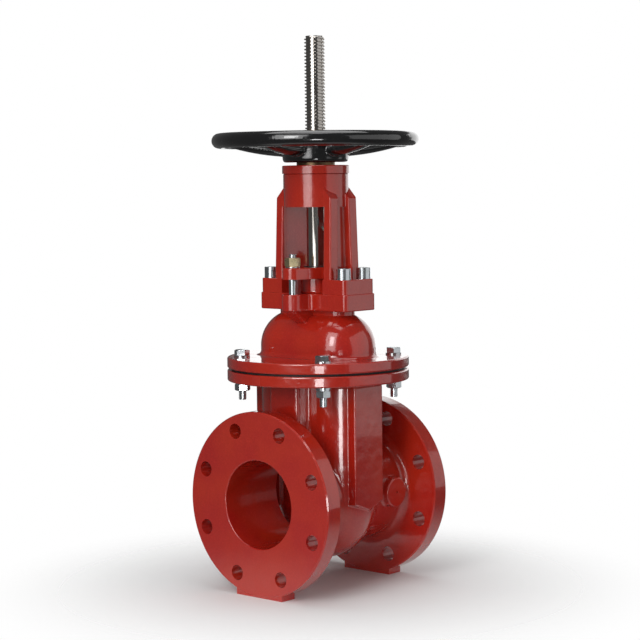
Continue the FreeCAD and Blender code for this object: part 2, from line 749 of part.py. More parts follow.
def wheel_fasteners():
    save("handwheel_key", key_block())
    seat = hub_top + wheel_washer_thick
    save("handwheel_washer", ring(wheel_washer_r, nut_thread_r, hub_top, seat))
    nut = hexagon(wheel_nut_flats, seat, wheel_nut_top, 0, 0, wheel_nut_turn)
    save("handwheel_nut", nut.cut(rod(nut_thread_r, hub_top, wheel_nut_top + 1)))


# ---------------------------------------------------------------- stem and wedge
def stem():
    profile = [
        (0, stem_tip), (tenon_r, stem_tip), (tenon_r, pocket_top), (stem_r, pocket_top),
        (stem_r, backseat_z - backseat_drop), (backseat_r, backseat_z - backseat_drop + 2),
        (backseat_r, backseat_z - 0.5),
        (stem_r, backseat_z - 0.5), (stem_r, thread_z), (thread_r, thread_z + 1),
        (thread_r, stem_top - 2), (thread_r - 2, stem_top), (0, stem_top),
    ]
    return turned(profile).cut(pin())


def pin():
    z = (pocket_z + pocket_top) / 2
    return rod_y(pin_r, -pin_half, pin_half, 0, z)


def wedge_disc(r, inset):
    """Round gate with both faces tapered to match the seats."""
    slab = tapered_slab(wedge_z - r, wedge_z + r, wedge_z, inset)
    return slab.common(rod_x(r, -beyond, beyond, 0, wedge_z))


def wedge_ears(y, half_x, half_z):
    return box(-half_x, half_x, -y, y, wedge_z - half_z, wedge_z + half_z)


def shoe(side, grow=0.0):
    y0, y1 = sorted((side * shoe_in_y, side * (ear_y + grow)))
    high = ear_half_z + grow
    return box(-shoe_half_x, shoe_half_x, y0, y1, wedge_z - high, wedge_z + high)


def wedge_iron():
    """Iron core before its slots are cut."""
    boss = box(-boss_half_x, boss_half_x, -boss_half_y, boss_half_y, wedge_z, wedge_boss_top)
    boss = soften(boss, 4, lambda p, e: upright(e))
    core = wedge_disc(wedge_r - rubber, rubber + face_gap)
    return core.fuse([wedge_ears(ear_y - 2, iron_ear_half_x, ear_half_z - 2), boss])


def wedge_parts():
    iron = wedge_iron()
    coat = wedge_disc(wedge_r, face_gap).fuse(wedge_ears(ear_y, rubber_ear_half_x, ear_half_z))
    coat = coat.cut(iron)
    through = boss_half_x + 1
    half = stem_slot_half
    core = iron.cut(box(-through, through, -nut_half_y, nut_half_y, pocket_z, pocket_top))
    core = core.cut(box(-through, half, -half, half, pocket_top - 1, wedge_boss_top + 1))
    wide = rail_half_x + shoe_gap
    shoes = []
    for side in (-1, 1):
        core = core.cut(shoe(side, 1))
        coat = coat.cut(shoe(side, 1))
        y0, y1 = sorted((side * (rail_y - shoe_gap), side * (ear_y + 1)))
        groove = box(-wide, wide, y0, y1, wedge_z - ear_half_z - 1, wedge_z + ear_half_z + 1)
        shoes.append(shoe(side).cut(groove))
    nut = box(-nut_half_x, nut_half_x, -nut_half_y, nut_half_y, pocket_z, pocket_top)
    nut = nut.cut(rod(tenon_r, pocket_z - 1, pocket_top + 1)).cut(pin())
    save("wedge_core", core)
    save("wedge_rubber", coat)
    save_group("wedge_guide_shoes", shoes)
    save("wedge_nut", nut)


# ---------------------------------------------------------------- write every node
os.makedirs("parts", exist_ok=True)
save("valve_body", valve_body())
save("bonnet_gasket", bonnet_gasket())
save("bonnet", bonnet())
bonnet_fasteners()
stuffing_box()
save("gland_flange", gland_flange())
save("stem_wiper", ring(wiper_r, stem_r + stem_gap, gland_top - wiper_depth, gland_top + 0.5))
gland_fasteners()
save("yoke", yoke())
save("yoke_tag_screw", tag_screw())
yoke_fasteners()
yoke_head()
save("stem_nut", stem_nut())
save("handwheel", handwheel())
wheel_fasteners()
save("stem", stem())
save("stem_pin", pin())
wedge_parts()
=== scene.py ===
import math

import bpy
from mathutils import Matrix, Vector


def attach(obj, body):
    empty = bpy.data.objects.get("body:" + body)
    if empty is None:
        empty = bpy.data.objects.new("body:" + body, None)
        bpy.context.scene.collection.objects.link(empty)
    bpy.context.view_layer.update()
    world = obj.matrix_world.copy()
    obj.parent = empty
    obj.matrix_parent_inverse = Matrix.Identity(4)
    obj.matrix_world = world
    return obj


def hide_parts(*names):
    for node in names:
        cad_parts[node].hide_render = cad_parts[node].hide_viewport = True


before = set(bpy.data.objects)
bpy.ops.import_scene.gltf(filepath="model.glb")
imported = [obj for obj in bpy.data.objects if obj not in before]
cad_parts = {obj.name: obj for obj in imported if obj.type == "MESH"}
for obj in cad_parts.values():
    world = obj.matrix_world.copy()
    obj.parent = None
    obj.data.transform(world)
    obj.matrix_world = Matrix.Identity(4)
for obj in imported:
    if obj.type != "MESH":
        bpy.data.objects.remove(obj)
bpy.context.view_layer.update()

millimetre = 0.001


# ------------------------------------------------------------ valve body
# Ductile-iron sand casting: chamber, two necks with class 125 flanges, ribs, label panel and
# round boss. Flange faces and bores are machined, then everything is fusion-bonded in red epoxy.
def lay_out(tree, groups):
    """Put each named group of nodes in its own frame, one row of nodes per frame."""
    for row, (title, members) in enumerate(groups.items()):
        border = tree.nodes.new("NodeFrame")
        border.label = title
        for column, node in enumerate(members):
            node.parent = border
            node.location = (column * 240, -row * 420)


def cast_enamel(name, film, thin_film, deep_film, faced_at, gloss, peel):
    """Epoxy enamel on a sand casting: film colour, gloss, cast skin, and faces machined flat."""
    material = bpy.data.materials.new(name)
    material.use_nodes = True
    tree = material.node_tree
    nodes = tree.nodes
    links = tree.links
    nodes.clear()
    place = nodes.new("ShaderNodeTexCoord")
    place.label = "place on the casting"
    centred = nodes.new("ShaderNodeMapping")
    centred.label = "measured from the pipe axis"
    centred.inputs["Location"].default_value = (0, 0, -0.115)

    clouds = nodes.new("ShaderNodeTexNoise")
    clouds.label = "film thickness drifts over a hand's width"
    clouds.inputs["Scale"].default_value = 16
    clouds.inputs["Detail"].default_value = 3
    clouds.inputs["Roughness"].default_value = 0.5
    cloud_tone = nodes.new("ShaderNodeValToRGB")
    cloud_tone.label = "thick film to normal film"
    cloud_tone.color_ramp.elements[0].position = 0.36
    cloud_tone.color_ramp.elements[0].color = deep_film
    cloud_tone.color_ramp.elements[1].position = 0.62
    cloud_tone.color_ramp.elements[1].color = film
    mottle = nodes.new("ShaderNodeTexNoise")
    mottle.label = "fine mottle of the cured powder"
    mottle.inputs["Scale"].default_value = 420
    mottle.inputs["Detail"].default_value = 2
    mottle_tone = nodes.new("ShaderNodeMapRange")
    mottle_tone.label = "how much the mottle thins the film"
    mottle_tone.inputs["From Min"].default_value = 0.45
    mottle_tone.inputs["From Max"].default_value = 0.8
    mottle_tone.inputs["To Min"].default_value = 0.0
    mottle_tone.inputs["To Max"].default_value = 0.5
    paint = nodes.new("ShaderNodeMix")
    paint.label = "film with its thin spots"
    paint.data_type = "RGBA"
    paint.inputs["B"].default_value = thin_film

    split = nodes.new("ShaderNodeSeparateXYZ")
    split.label = "along the pipe"
    reach = nodes.new("ShaderNodeMath")
    reach.label = "distance from the stem plane"
    reach.operation = "ABSOLUTE"
    faced = nodes.new("ShaderNodeMath")
    faced.label = "is the machined flange face"
    faced.operation = "GREATER_THAN"
    faced.inputs[1].default_value = faced_at
    lay = nodes.new("ShaderNodeTexWave")
    lay.label = "turning marks round the pipe axis"
    lay.wave_type = "RINGS"
    lay.rings_direction = "X"
    lay.inputs["Scale"].default_value = 190
    lay.inputs["Distortion"].default_value = 0.6
    lay_depth = nodes.new("ShaderNodeMath")
    lay_depth.label = "marks on the face only"
    lay_depth.operation = "MULTIPLY"

    patches = nodes.new("ShaderNodeTexNoise")
    patches.label = "gloss drifts in patches"
    patches.inputs["Scale"].default_value = 45
    patches.inputs["Detail"].default_value = 4
    sheen = nodes.new("ShaderNodeMapRange")
    sheen.label = "roughness of the glossy film"
    sheen.inputs["From Min"].default_value = 0.3
    sheen.inputs["From Max"].default_value = 0.7
    sheen.inputs["To Min"].default_value = gloss
    sheen.inputs["To Max"].default_value = gloss + 0.14
    finish = nodes.new("ShaderNodeMix")
    finish.label = "satin where the face is machined"
    finish.data_type = "FLOAT"
    finish.inputs["B"].default_value = 0.46

    waves = nodes.new("ShaderNodeTexNoise")
    waves.label = "orange peel and mould waviness"
    waves.inputs["Scale"].default_value = 70
    waves.inputs["Detail"].default_value = 1.5
    waves.inputs["Roughness"].default_value = 0.4
    sand = nodes.new("ShaderNodeTexNoise")
    sand.label = "sand skin under the film"
    sand.inputs["Scale"].default_value = 330
    sand.inputs["Detail"].default_value = 3
    sand.inputs["Roughness"].default_value = 0.6
    pits = nodes.new("ShaderNodeTexVoronoi")
    pits.label = "scattered casting pits"
    pits.feature = "F1"
    pits.inputs["Scale"].default_value = 60
    pits.inputs["Randomness"].default_value = 1
    pit_size = nodes.new("ShaderNodeMapRange")
    pit_size.label = "only the middles are pitted"
    pit_size.inputs["From Min"].default_value = 0.02
    pit_size.inputs["From Max"].default_value = 0.13
    rough_skin = nodes.new("ShaderNodeMath")
    rough_skin.label = "cast skin, none where machined"
    rough_skin.operation = "MULTIPLY"
    unfaced = nodes.new("ShaderNodeMath")
    unfaced.label = "is as cast"
    unfaced.operation = "SUBTRACT"
    unfaced.inputs[0].default_value = 1
    peel_bump = nodes.new("ShaderNodeBump")
    peel_bump.label = "long waves"
    peel_bump.inputs["Strength"].default_value = 1
    peel_bump.inputs["Distance"].default_value = peel
    sand_bump = nodes.new("ShaderNodeBump")
    sand_bump.label = "sand grain"
    sand_bump.inputs["Strength"].default_value = 1
    sand_bump.inputs["Distance"].default_value = peel * 0.14
    pit_bump = nodes.new("ShaderNodeBump")
    pit_bump.label = "pits"
    pit_bump.inputs["Strength"].default_value = 0.6
    pit_bump.inputs["Distance"].default_value = 0.00025
    lay_bump = nodes.new("ShaderNodeBump")
    lay_bump.label = "turning marks"
    lay_bump.inputs["Strength"].default_value = 0.5
    lay_bump.inputs["Distance"].default_value = 0.00004

    shader = nodes.new("ShaderNodeBsdfPrincipled")
    shader.label = "epoxy enamel"
    shader.inputs["IOR"].default_value = 1.52
    shader.inputs["Coat Weight"].default_value = 1.0
    shader.inputs["Coat Roughness"].default_value = 0.035
    shader.inputs["Coat IOR"].default_value = 1.5
    output = nodes.new("ShaderNodeOutputMaterial")
    output.label = "enamelled iron"

    links.new(place.outputs["Object"], centred.inputs["Vector"])
    links.new(centred.outputs["Vector"], clouds.inputs["Vector"])
    links.new(clouds.outputs["Fac"], cloud_tone.inputs["Fac"])
    links.new(centred.outputs["Vector"], mottle.inputs["Vector"])
    links.new(mottle.outputs["Fac"], mottle_tone.inputs["Value"])
    links.new(mottle_tone.outputs["Result"], paint.inputs["Factor"])
    links.new(cloud_tone.outputs["Color"], paint.inputs["A"])
    links.new(centred.outputs["Vector"], split.inputs["Vector"])
    links.new(split.outputs["X"], reach.inputs[0])
    links.new(reach.outputs["Value"], faced.inputs[0])
    links.new(centred.outputs["Vector"], lay.inputs["Vector"])
    links.new(lay.outputs["Fac"], lay_depth.inputs[0])
    links.new(faced.outputs["Value"], lay_depth.inputs[1])
    links.new(centred.outputs["Vector"], patches.inputs["Vector"])
    links.new(patches.outputs["Fac"], sheen.inputs["Value"])
    links.new(sheen.outputs["Result"], finish.inputs["A"])
    links.new(faced.outputs["Value"], finish.inputs["Factor"])
    links.new(centred.outputs["Vector"], waves.inputs["Vector"])
    links.new(centred.outputs["Vector"], sand.inputs["Vector"])
    links.new(centred.outputs["Vector"], pits.inputs["Vector"])
    links.new(pits.outputs["Distance"], pit_size.inputs["Value"])
    links.new(faced.outputs["Value"], unfaced.inputs[1])
    links.new(sand.outputs["Fac"], rough_skin.inputs[0])
    links.new(unfaced.outputs["Value"], rough_skin.inputs[1])
    links.new(waves.outputs["Fac"], peel_bump.inputs["Height"])
    links.new(rough_skin.outputs["Value"], sand_bump.inputs["Height"])
    links.new(peel_bump.outputs["Normal"], sand_bump.inputs["Normal"])
    links.new(pit_size.outputs["Result"], pit_bump.inputs["Height"])
    links.new(sand_bump.outputs["Normal"], pit_bump.inputs["Normal"])
    links.new(lay_depth.outputs["Value"], lay_bump.inputs["Height"])
    links.new(pit_bump.outputs["Normal"], lay_bump.inputs["Normal"])
    links.new(paint.outputs["Result"], shader.inputs["Base Color"])
    links.new(finish.outputs["Result"], shader.inputs["Roughness"])
    links.new(lay_bump.outputs["Normal"], shader.inputs["Normal"])
    links.new(shader.outputs["BSDF"], output.inputs["Surface"])
    lay_out(tree, {
        "where": [place, centred],
        "film colour": [clouds, cloud_tone, mottle, mottle_tone, paint],
        "machined faces": [split, reach, faced, lay, lay_depth, unfaced],
        "gloss": [patches, sheen, finish],
        "cast skin": [waves, sand, rough_skin, pits, pit_size],
        "relief": [peel_bump, sand_bump, pit_bump, lay_bump],
        "enamel": [shader, output],
    })
    return material


def finish_node(name, material):
    """Give a carried-over CAD part its finish."""
    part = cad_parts[name]
    part.data.materials.clear()
    part.data.materials.append(material)
    return part


flange_face_x = 0.1141
no_faced_end = 9.0             # farther out than any part, so nothing counts as faced
red_film = (0.45, 0.0215, 0.0078, 1)
red_thin_film = (0.55, 0.030, 0.018, 1)
red_deep_film = (0.40, 0.012, 0.008, 1)
body_red = cast_enamel("red_enamel_body", red_film, red_thin_film, red_deep_film,
                       flange_face_x, 0.13, 0.0007)
finish_node("valve_body", body_red)


# ------------------------------------------------------------ body gasket
# Flat black rubber ring squeezed between body and bonnet; its edge is the dark line round the joint.
def moulded(name, colour, worn, roughness, grain_scale, grain_depth):
    """Moulded rubber or nylon: even colour with a dusty bloom and a fine mould grain."""
    material = bpy.data.materials.new(name)
    material.use_nodes = True
    tree = material.node_tree
    nodes = tree.nodes
    links = tree.links
    nodes.clear()
    place = nodes.new("ShaderNodeTexCoord")
    place.label = "place on the moulding"
    bloom = nodes.new("ShaderNodeTexNoise")
    bloom.label = "dusty bloom in patches"
    bloom.inputs["Scale"].default_value = 90
    bloom.inputs["Detail"].default_value = 5
    bloom_tone = nodes.new("ShaderNodeValToRGB")
    bloom_tone.label = "clean to bloomed"
    bloom_tone.color_ramp.elements[0].position = 0.4
    bloom_tone.color_ramp.elements[0].color = colour
    bloom_tone.color_ramp.elements[1].position = 0.75
    bloom_tone.color_ramp.elements[1].color = worn
    dull = nodes.new("ShaderNodeMapRange")
    dull.label = "bloom dulls the surface"
    dull.inputs["To Min"].default_value = roughness - 0.08
    dull.inputs["To Max"].default_value = roughness + 0.12
    grain = nodes.new("ShaderNodeTexNoise")
    grain.label = "grain of the mould"
    grain.inputs["Scale"].default_value = grain_scale
    grain.inputs["Detail"].default_value = 3
    relief = nodes.new("ShaderNodeBump")
    relief.label = "grain depth"
    relief.inputs["Strength"].default_value = 1
    relief.inputs["Distance"].default_value = grain_depth
    shader = nodes.new("ShaderNodeBsdfPrincipled")
    shader.label = "moulded material"
    shader.inputs["IOR"].default_value = 1.5
    output = nodes.new("ShaderNodeOutputMaterial")
    output.label = "moulding"
    links.new(place.outputs["Object"], bloom.inputs["Vector"])
    links.new(place.outputs["Object"], grain.inputs["Vector"])
    links.new(bloom.outputs["Fac"], bloom_tone.inputs["Fac"])
    links.new(bloom.outputs["Fac"], dull.inputs["Value"])
    links.new(grain.outputs["Fac"], relief.inputs["Height"])
    links.new(bloom_tone.outputs["Color"], shader.inputs["Base Color"])
    links.new(dull.outputs["Result"], shader.inputs["Roughness"])
    links.new(relief.outputs["Normal"], shader.inputs["Normal"])
    links.new(shader.outputs["BSDF"], output.inputs["Surface"])
    lay_out(tree, {
        "where": [place],
        "bloom": [bloom, bloom_tone, dull],
        "grain": [grain, relief],
        "material": [shader, output],
    })
    return material


black_rubber = moulded("black_rubber", (0.012, 0.012, 0.013, 1), (0.035, 0.034, 0.034, 1),
                       0.6, 900, 0.00006)
finish_node("bonnet_gasket", black_rubber)


# ------------------------------------------------------------ bonnet
# Second red-enamelled casting: round cover flange, domed chamber top and the top flange with its
# gland lugs and stuffing-box barrel. Same epoxy as the body, no machined face on show.
bonnet_red = cast_enamel("red_enamel_bonnet", red_film, red_thin_film, red_deep_film,
                         no_faced_end, 0.10, 0.0005)
finish_node("bonnet", bonnet_red)


# ------------------------------------------------------------ wedge
# Iron gate with moulded rubber all round, nylon shoes on its ears that slide on the body rails,
# and a square bronze nut that hangs it from the foot of the stem.
def machined_metal(name, colour, stained, roughness, mark_stretch, mark_depth, coat):
    """Bright metal: tone clouds, fine tool marks drawn out one way, and a soft gloss drift."""
    material = bpy.data.materials.new(name)
    material.use_nodes = True
    tree = material.node_tree
    nodes = tree.nodes
    links = tree.links
    nodes.clear()
    place = nodes.new("ShaderNodeTexCoord")
    place.label = "place on the part"
    drawn = nodes.new("ShaderNodeMapping")
    drawn.label = "tool marks run round the part"
    drawn.inputs["Scale"].default_value = mark_stretch
    marks = nodes.new("ShaderNodeTexNoise")
    marks.label = "tool marks"
    marks.inputs["Scale"].default_value = 1
    marks.inputs["Detail"].default_value = 4
    marks.inputs["Roughness"].default_value = 0.65
    tarnish = nodes.new("ShaderNodeTexNoise")
    tarnish.label = "stain and handling clouds"
    tarnish.inputs["Scale"].default_value = 130
    tarnish.inputs["Detail"].default_value = 5
    tone = nodes.new("ShaderNodeValToRGB")
    tone.label = "bright to stained"
    tone.color_ramp.elements[0].position = 0.42
    tone.color_ramp.elements[0].color = colour
    tone.color_ramp.elements[1].position = 0.78
    tone.color_ramp.elements[1].color = stained
    polish = nodes.new("ShaderNodeMapRange")
    polish.label = "polish varies with the marks"
    polish.inputs["From Min"].default_value = 0.3
    polish.inputs["From Max"].default_value = 0.7
    polish.inputs["To Min"].default_value = roughness * 0.75
    polish.inputs["To Max"].default_value = roughness * 1.35
    relief = nodes.new("ShaderNodeBump")
    relief.label = "mark depth"
    relief.inputs["Strength"].default_value = 1
    relief.inputs["Distance"].default_value = mark_depth
    shader = nodes.new("ShaderNodeBsdfPrincipled")
    shader.label = "metal"
    shader.inputs["Metallic"].default_value = 1
    shader.inputs["Coat Weight"].default_value = coat
    shader.inputs["Coat Roughness"].default_value = 0.15
    output = nodes.new("ShaderNodeOutputMaterial")
    output.label = "bright metal"
    links.new(place.outputs["Object"], drawn.inputs["Vector"])
    links.new(drawn.outputs["Vector"], marks.inputs["Vector"])
    links.new(place.outputs["Object"], tarnish.inputs["Vector"])
    links.new(tarnish.outputs["Fac"], tone.inputs["Fac"])
    links.new(marks.outputs["Fac"], polish.inputs["Value"])
    links.new(marks.outputs["Fac"], relief.inputs["Height"])
    links.new(tone.outputs["Color"], shader.inputs["Base Color"])
    links.new(polish.outputs["Result"], shader.inputs["Roughness"])
    links.new(relief.outputs["Normal"], shader.inputs["Normal"])
    links.new(shader.outputs["BSDF"], output.inputs["Surface"])
    lay_out(tree, {
        "where": [place, drawn],
        "colour": [tarnish, tone],
        "tool marks": [marks, polish, relief],
        "metal": [shader, output],
    })
    return material


bare_iron = machined_metal("bare_iron", (0.10, 0.095, 0.09, 1), (0.16, 0.09, 0.06, 1),
                           0.5, (300, 300, 300), 0.0002, 0)
# Bronze colour kept very dark: painted shade standing in for the shadow on the stem-nut neck between
# the handwheel hub and the yoke cap. Every bronze part carries it.
bronze_darkened_as_painted_shade = machined_metal("bronze_darkened_as_painted_shade", (0.24, 0.15, 0.08, 1), (0.12, 0.08, 0.05, 1),
                               0.38, (60, 60, 3500), 0.00001, 0)
white_nylon = moulded("white_nylon", (0.78, 0.77, 0.72, 1), (0.66, 0.64, 0.58, 1), 0.42, 500, 0.00003)
finish_node("wedge_core", bare_iron)
finish_node("wedge_rubber", black_rubber)
finish_node("wedge_guide_shoes", white_nylon)
finish_node("wedge_nut", bronze_darkened_as_painted_shade)


# ------------------------------------------------------------ stem
# Stainless bar turned in one piece: tenon and back-seat collar at its foot, a polished shank, and a
# two-start left-hand trapezoidal thread up to its chamfered end. It rises and never turns.
thread_lead = 8.4667 * millimetre
thread_pitch = thread_lead / 2
stem_crest = 12.7 * millimetre
stem_root = 10.7 * millimetre
stem_columns = 72
stem_top = 0.689


def turned_blank(name, outline, columns, closed=False):
    """Spin (radius, height, across_flats) points round Z; a flats value keeps the hexagon's sides."""
    points = []
    rings = []
    for radius, height, flats in outline:
        ring = []
        for k in range(columns):
            angle = 2 * math.pi * k / columns
            across = radius
            if flats:
                lean = (angle + math.pi / 6) % (math.pi / 3) - math.pi / 6
                across = min(radius, flats / 2 / math.cos(lean))
            if radius == 0 and k:
                ring.append(ring[0])
                continue
            ring.append(len(points))
            points.append((across * math.cos(angle), across * math.sin(angle), height))
        rings.append(ring)
    faces = []
    pairs = list(zip(rings, rings[1:]))
    if closed:
        pairs.append((rings[-1], rings[0]))
    for lower, upper in pairs:
        for k in range(columns):
            j = (k + 1) % columns
            corners = []
            for corner in (lower[k], lower[j], upper[j], upper[k]):
                if corner not in corners:
                    corners.append(corner)
            if len(corners) > 2:
                faces.append(corners)
    mesh = bpy.data.meshes.new(name)
    mesh.from_pydata(points, [], faces)
    mesh.validate()
    mesh.update()
    return mesh


def new_socket(tree, name, kind, default=None):
    """Named input of a geometry tree."""
    socket = tree.interface.new_socket(name=name, in_out="INPUT", socket_type=kind)
    if default is not None:
        socket.default_value = default
    return socket


def calculate(tree, operation, first, second=None):
    """One sum in a geometry tree; numbers and sockets may be mixed."""
    node = tree.nodes.new("ShaderNodeMath")
    node.operation = operation
    for slot_index, value in enumerate((first, second)):
        if value is None:
            continue
        if isinstance(value, (int, float)):
            node.inputs[slot_index].default_value = value
        else:
            tree.links.new(value, node.inputs[slot_index])
    return node.outputs[0]


def thread_group():
    """Threaded rod with its free end up: a sheared sheet of rows wound round the axis."""
    tree = bpy.data.node_groups.new("threaded_end", "GeometryNodeTree")
    for socket_name, default in (
            ("Crest Radius", 0.005), ("Root Radius", 0.0042), ("Pitch", 0.0015), ("Lead", 0.0015),
            ("Bottom", 0.0), ("Top", 0.02), ("Shank Radius", 0.005), ("End Radius", 0.0042)):
        new_socket(tree, socket_name, "NodeSocketFloat", default)
    new_socket(tree, "Columns", "NodeSocketInt", 32)
    tree.interface.new_socket(name="Geometry", in_out="OUTPUT", socket_type="NodeSocketGeometry")
    nodes = tree.nodes
    links = tree.links
    given = nodes.new("NodeGroupInput")
    size = given.outputs
    row_height = calculate(tree, "DIVIDE", size["Pitch"], 8.0)
    lead_reach = calculate(tree, "ABSOLUTE", size["Lead"])
    run = calculate(tree, "ADD", calculate(tree, "SUBTRACT", size["Top"], size["Bottom"]),
                    calculate(tree, "MULTIPLY", lead_reach, 2.0))
    steps = calculate(tree, "CEIL", calculate(tree, "DIVIDE", run, row_height))
    rows = calculate(tree, "ADD", steps, 1.0)
    sheet = nodes.new("GeometryNodeMeshGrid")
    sheet.inputs["Size X"].default_value = 1
    links.new(calculate(tree, "SUBTRACT", rows, 1.0), sheet.inputs["Size Y"])
    links.new(calculate(tree, "ADD", size["Columns"], 1.0), sheet.inputs["Vertices X"])
    links.new(rows, sheet.inputs["Vertices Y"])
    spot = nodes.new("GeometryNodeInputPosition")
    spread = nodes.new("ShaderNodeSeparateXYZ")
    links.new(spot.outputs["Position"], spread.inputs["Vector"])
    turn = calculate(tree, "ADD", spread.outputs["X"], 0.5)
    half_way = calculate(tree, "DIVIDE", calculate(tree, "SUBTRACT", rows, 1.0), 2.0)
    row = calculate(tree, "ROUND", calculate(tree, "ADD", spread.outputs["Y"], half_way))
    start = calculate(tree, "SUBTRACT", size["Bottom"], lead_reach)
    climb = calculate(tree, "ADD", calculate(tree, "MULTIPLY", row, row_height),
                      calculate(tree, "MULTIPLY", turn, size["Lead"]))
    free_height = calculate(tree, "ADD", start, climb)
    kept_height = calculate(tree, "MAXIMUM", free_height, size["Bottom"])
    height = calculate(tree, "MINIMUM", kept_height, size["Top"])
    on_crest = calculate(tree, "LESS_THAN", calculate(tree, "FLOORED_MODULO", row, 8.0), 3.5)
    depth = calculate(tree, "SUBTRACT", size["Crest Radius"], size["Root Radius"])
    radius = calculate(tree, "ADD", size["Root Radius"], calculate(tree, "MULTIPLY", on_crest, depth))
    below_end = calculate(tree, "SUBTRACT", size["Top"], height)
    chamfer = calculate(tree, "ADD", size["End Radius"], below_end)
    radius = calculate(tree, "MINIMUM", radius, chamfer)
    thread_start = calculate(tree, "ADD", size["Bottom"], 0.000001)
    above = calculate(tree, "GREATER_THAN", free_height, thread_start)
    radius = calculate(tree, "ADD", calculate(tree, "MULTIPLY", radius, above), calculate(
        tree, "MULTIPLY", size["Shank Radius"], calculate(tree, "SUBTRACT", 1.0, above)))
    angle = calculate(tree, "MULTIPLY", turn, 2 * math.pi)
    wound = nodes.new("ShaderNodeCombineXYZ")
    links.new(calculate(tree, "MULTIPLY", radius, calculate(tree, "COSINE", angle)), wound.inputs["X"])
    links.new(calculate(tree, "MULTIPLY", radius, calculate(tree, "SINE", angle)), wound.inputs["Y"])
    links.new(height, wound.inputs["Z"])
    wind = nodes.new("GeometryNodeSetPosition")
    links.new(sheet.outputs["Mesh"], wind.inputs["Geometry"])
    links.new(wound.outputs["Vector"], wind.inputs["Position"])
    lid = nodes.new("GeometryNodeMeshCircle")
    lid.fill_type = "NGON"
    links.new(size["Columns"], lid.inputs["Vertices"])
    links.new(size["End Radius"], lid.inputs["Radius"])
    lift = nodes.new("ShaderNodeCombineXYZ")
    links.new(size["Top"], lift.inputs["Z"])
    raise_lid = nodes.new("GeometryNodeTransform")
    links.new(lid.outputs["Mesh"], raise_lid.inputs["Geometry"])
    links.new(lift.outputs["Vector"], raise_lid.inputs["Translation"])
    together = nodes.new("GeometryNodeJoinGeometry")
    links.new(wind.outputs["Geometry"], together.inputs["Geometry"])
    links.new(raise_lid.outputs["Geometry"], together.inputs["Geometry"])
    given_back = nodes.new("NodeGroupOutput")
    links.new(together.outputs["Geometry"], given_back.inputs["Geometry"])
    return tree


def soft_edges(tree, geometry):
    """Shade faces smooth but keep edges steeper than 35 degrees crisp."""
    smooth = tree.nodes.new("GeometryNodeSetShadeSmooth")
    smooth.domain = "FACE"
    smooth.inputs["Shade Smooth"].default_value = True
    tree.links.new(geometry, smooth.inputs["Geometry"])
    steep = tree.nodes.new("GeometryNodeInputMeshEdgeAngle")
    crisp = tree.nodes.new("GeometryNodeSetShadeSmooth")
    crisp.domain = "EDGE"
    tree.links.new(smooth.outputs["Geometry"], crisp.inputs["Geometry"])
    tree.links.new(calculate(tree, "GREATER_THAN", steep.outputs["Unsigned Angle"], math.radians(35)),
                   crisp.inputs["Selection"])
    crisp.inputs["Shade Smooth"].default_value = False
    return crisp.outputs["Geometry"]


def fastener_tree(threads):
    """Finish a blank with a thread, then set copies out on a grid and turn each a little further."""
    tree = bpy.data.node_groups.new("set_out", "GeometryNodeTree")
    new_socket(tree, "Geometry", "NodeSocketGeometry")
    new_socket(tree, "Material", "NodeSocketMaterial")
    new_socket(tree, "Threaded", "NodeSocketBool", False)
    for socket in threads.interface.items_tree:
        if socket.in_out == "INPUT":
            new_socket(tree, socket.name, socket.socket_type, socket.default_value)
    for socket_name in ("Spacing X", "Spacing Y", "Height", "Head Down", "First Turn", "Turn Step"):
        new_socket(tree, socket_name, "NodeSocketFloat", 0.0)
    tree.interface.new_socket(name="Geometry", in_out="OUTPUT", socket_type="NodeSocketGeometry")
    nodes = tree.nodes
    links = tree.links
    given = nodes.new("NodeGroupInput")
    size = given.outputs
    thread = nodes.new("GeometryNodeGroup")
    thread.node_tree = threads
    for socket in threads.interface.items_tree:
        if socket.in_out == "INPUT":
            links.new(size[socket.name], thread.inputs[socket.name])
    choose = nodes.new("GeometryNodeSwitch")
    choose.input_type = "GEOMETRY"
    links.new(size["Threaded"], choose.inputs["Switch"])
    links.new(thread.outputs["Geometry"], choose.inputs["True"])
    join = nodes.new("GeometryNodeJoinGeometry")
    links.new(size["Geometry"], join.inputs["Geometry"])
    links.new(choose.outputs["Output"], join.inputs["Geometry"])
    weld = nodes.new("GeometryNodeMergeByDistance")
    weld.inputs["Distance"].default_value = 0.000002
    links.new(join.outputs["Geometry"], weld.inputs["Geometry"])
    corners = nodes.new("GeometryNodeMeshGrid")
    corners.inputs["Vertices X"].default_value = 2
    corners.inputs["Vertices Y"].default_value = 2
    links.new(size["Spacing X"], corners.inputs["Size X"])
    links.new(size["Spacing Y"], corners.inputs["Size Y"])
    single = nodes.new("GeometryNodeMergeByDistance")
    single.inputs["Distance"].default_value = 0.0001
    links.new(corners.outputs["Mesh"], single.inputs["Geometry"])
    lift = nodes.new("ShaderNodeCombineXYZ")
    links.new(size["Height"], lift.inputs["Z"])
    raised = nodes.new("GeometryNodeSetPosition")
    links.new(single.outputs["Geometry"], raised.inputs["Geometry"])
    links.new(lift.outputs["Vector"], raised.inputs["Offset"])
    number = nodes.new("GeometryNodeInputIndex")
    twist = calculate(tree, "ADD", size["First Turn"],
                      calculate(tree, "MULTIPLY", number.outputs["Index"], size["Turn Step"]))
    lean = nodes.new("ShaderNodeCombineXYZ")
    links.new(calculate(tree, "MULTIPLY", size["Head Down"], math.pi), lean.inputs["X"])
    links.new(twist, lean.inputs["Z"])
    copies = nodes.new("GeometryNodeInstanceOnPoints")
    links.new(raised.outputs["Geometry"], copies.inputs["Points"])
    links.new(weld.outputs["Geometry"], copies.inputs["Instance"])
    links.new(lean.outputs["Vector"], copies.inputs["Rotation"])
    real = nodes.new("GeometryNodeRealizeInstances")
    links.new(copies.outputs["Instances"], real.inputs["Geometry"])
    paint = nodes.new("GeometryNodeSetMaterial")
    links.new(soft_edges(tree, real.outputs["Geometry"]), paint.inputs["Geometry"])
    links.new(size["Material"], paint.inputs["Material"])
    given_back = nodes.new("NodeGroupOutput")
    links.new(paint.outputs["Geometry"], given_back.inputs["Geometry"])
    return tree


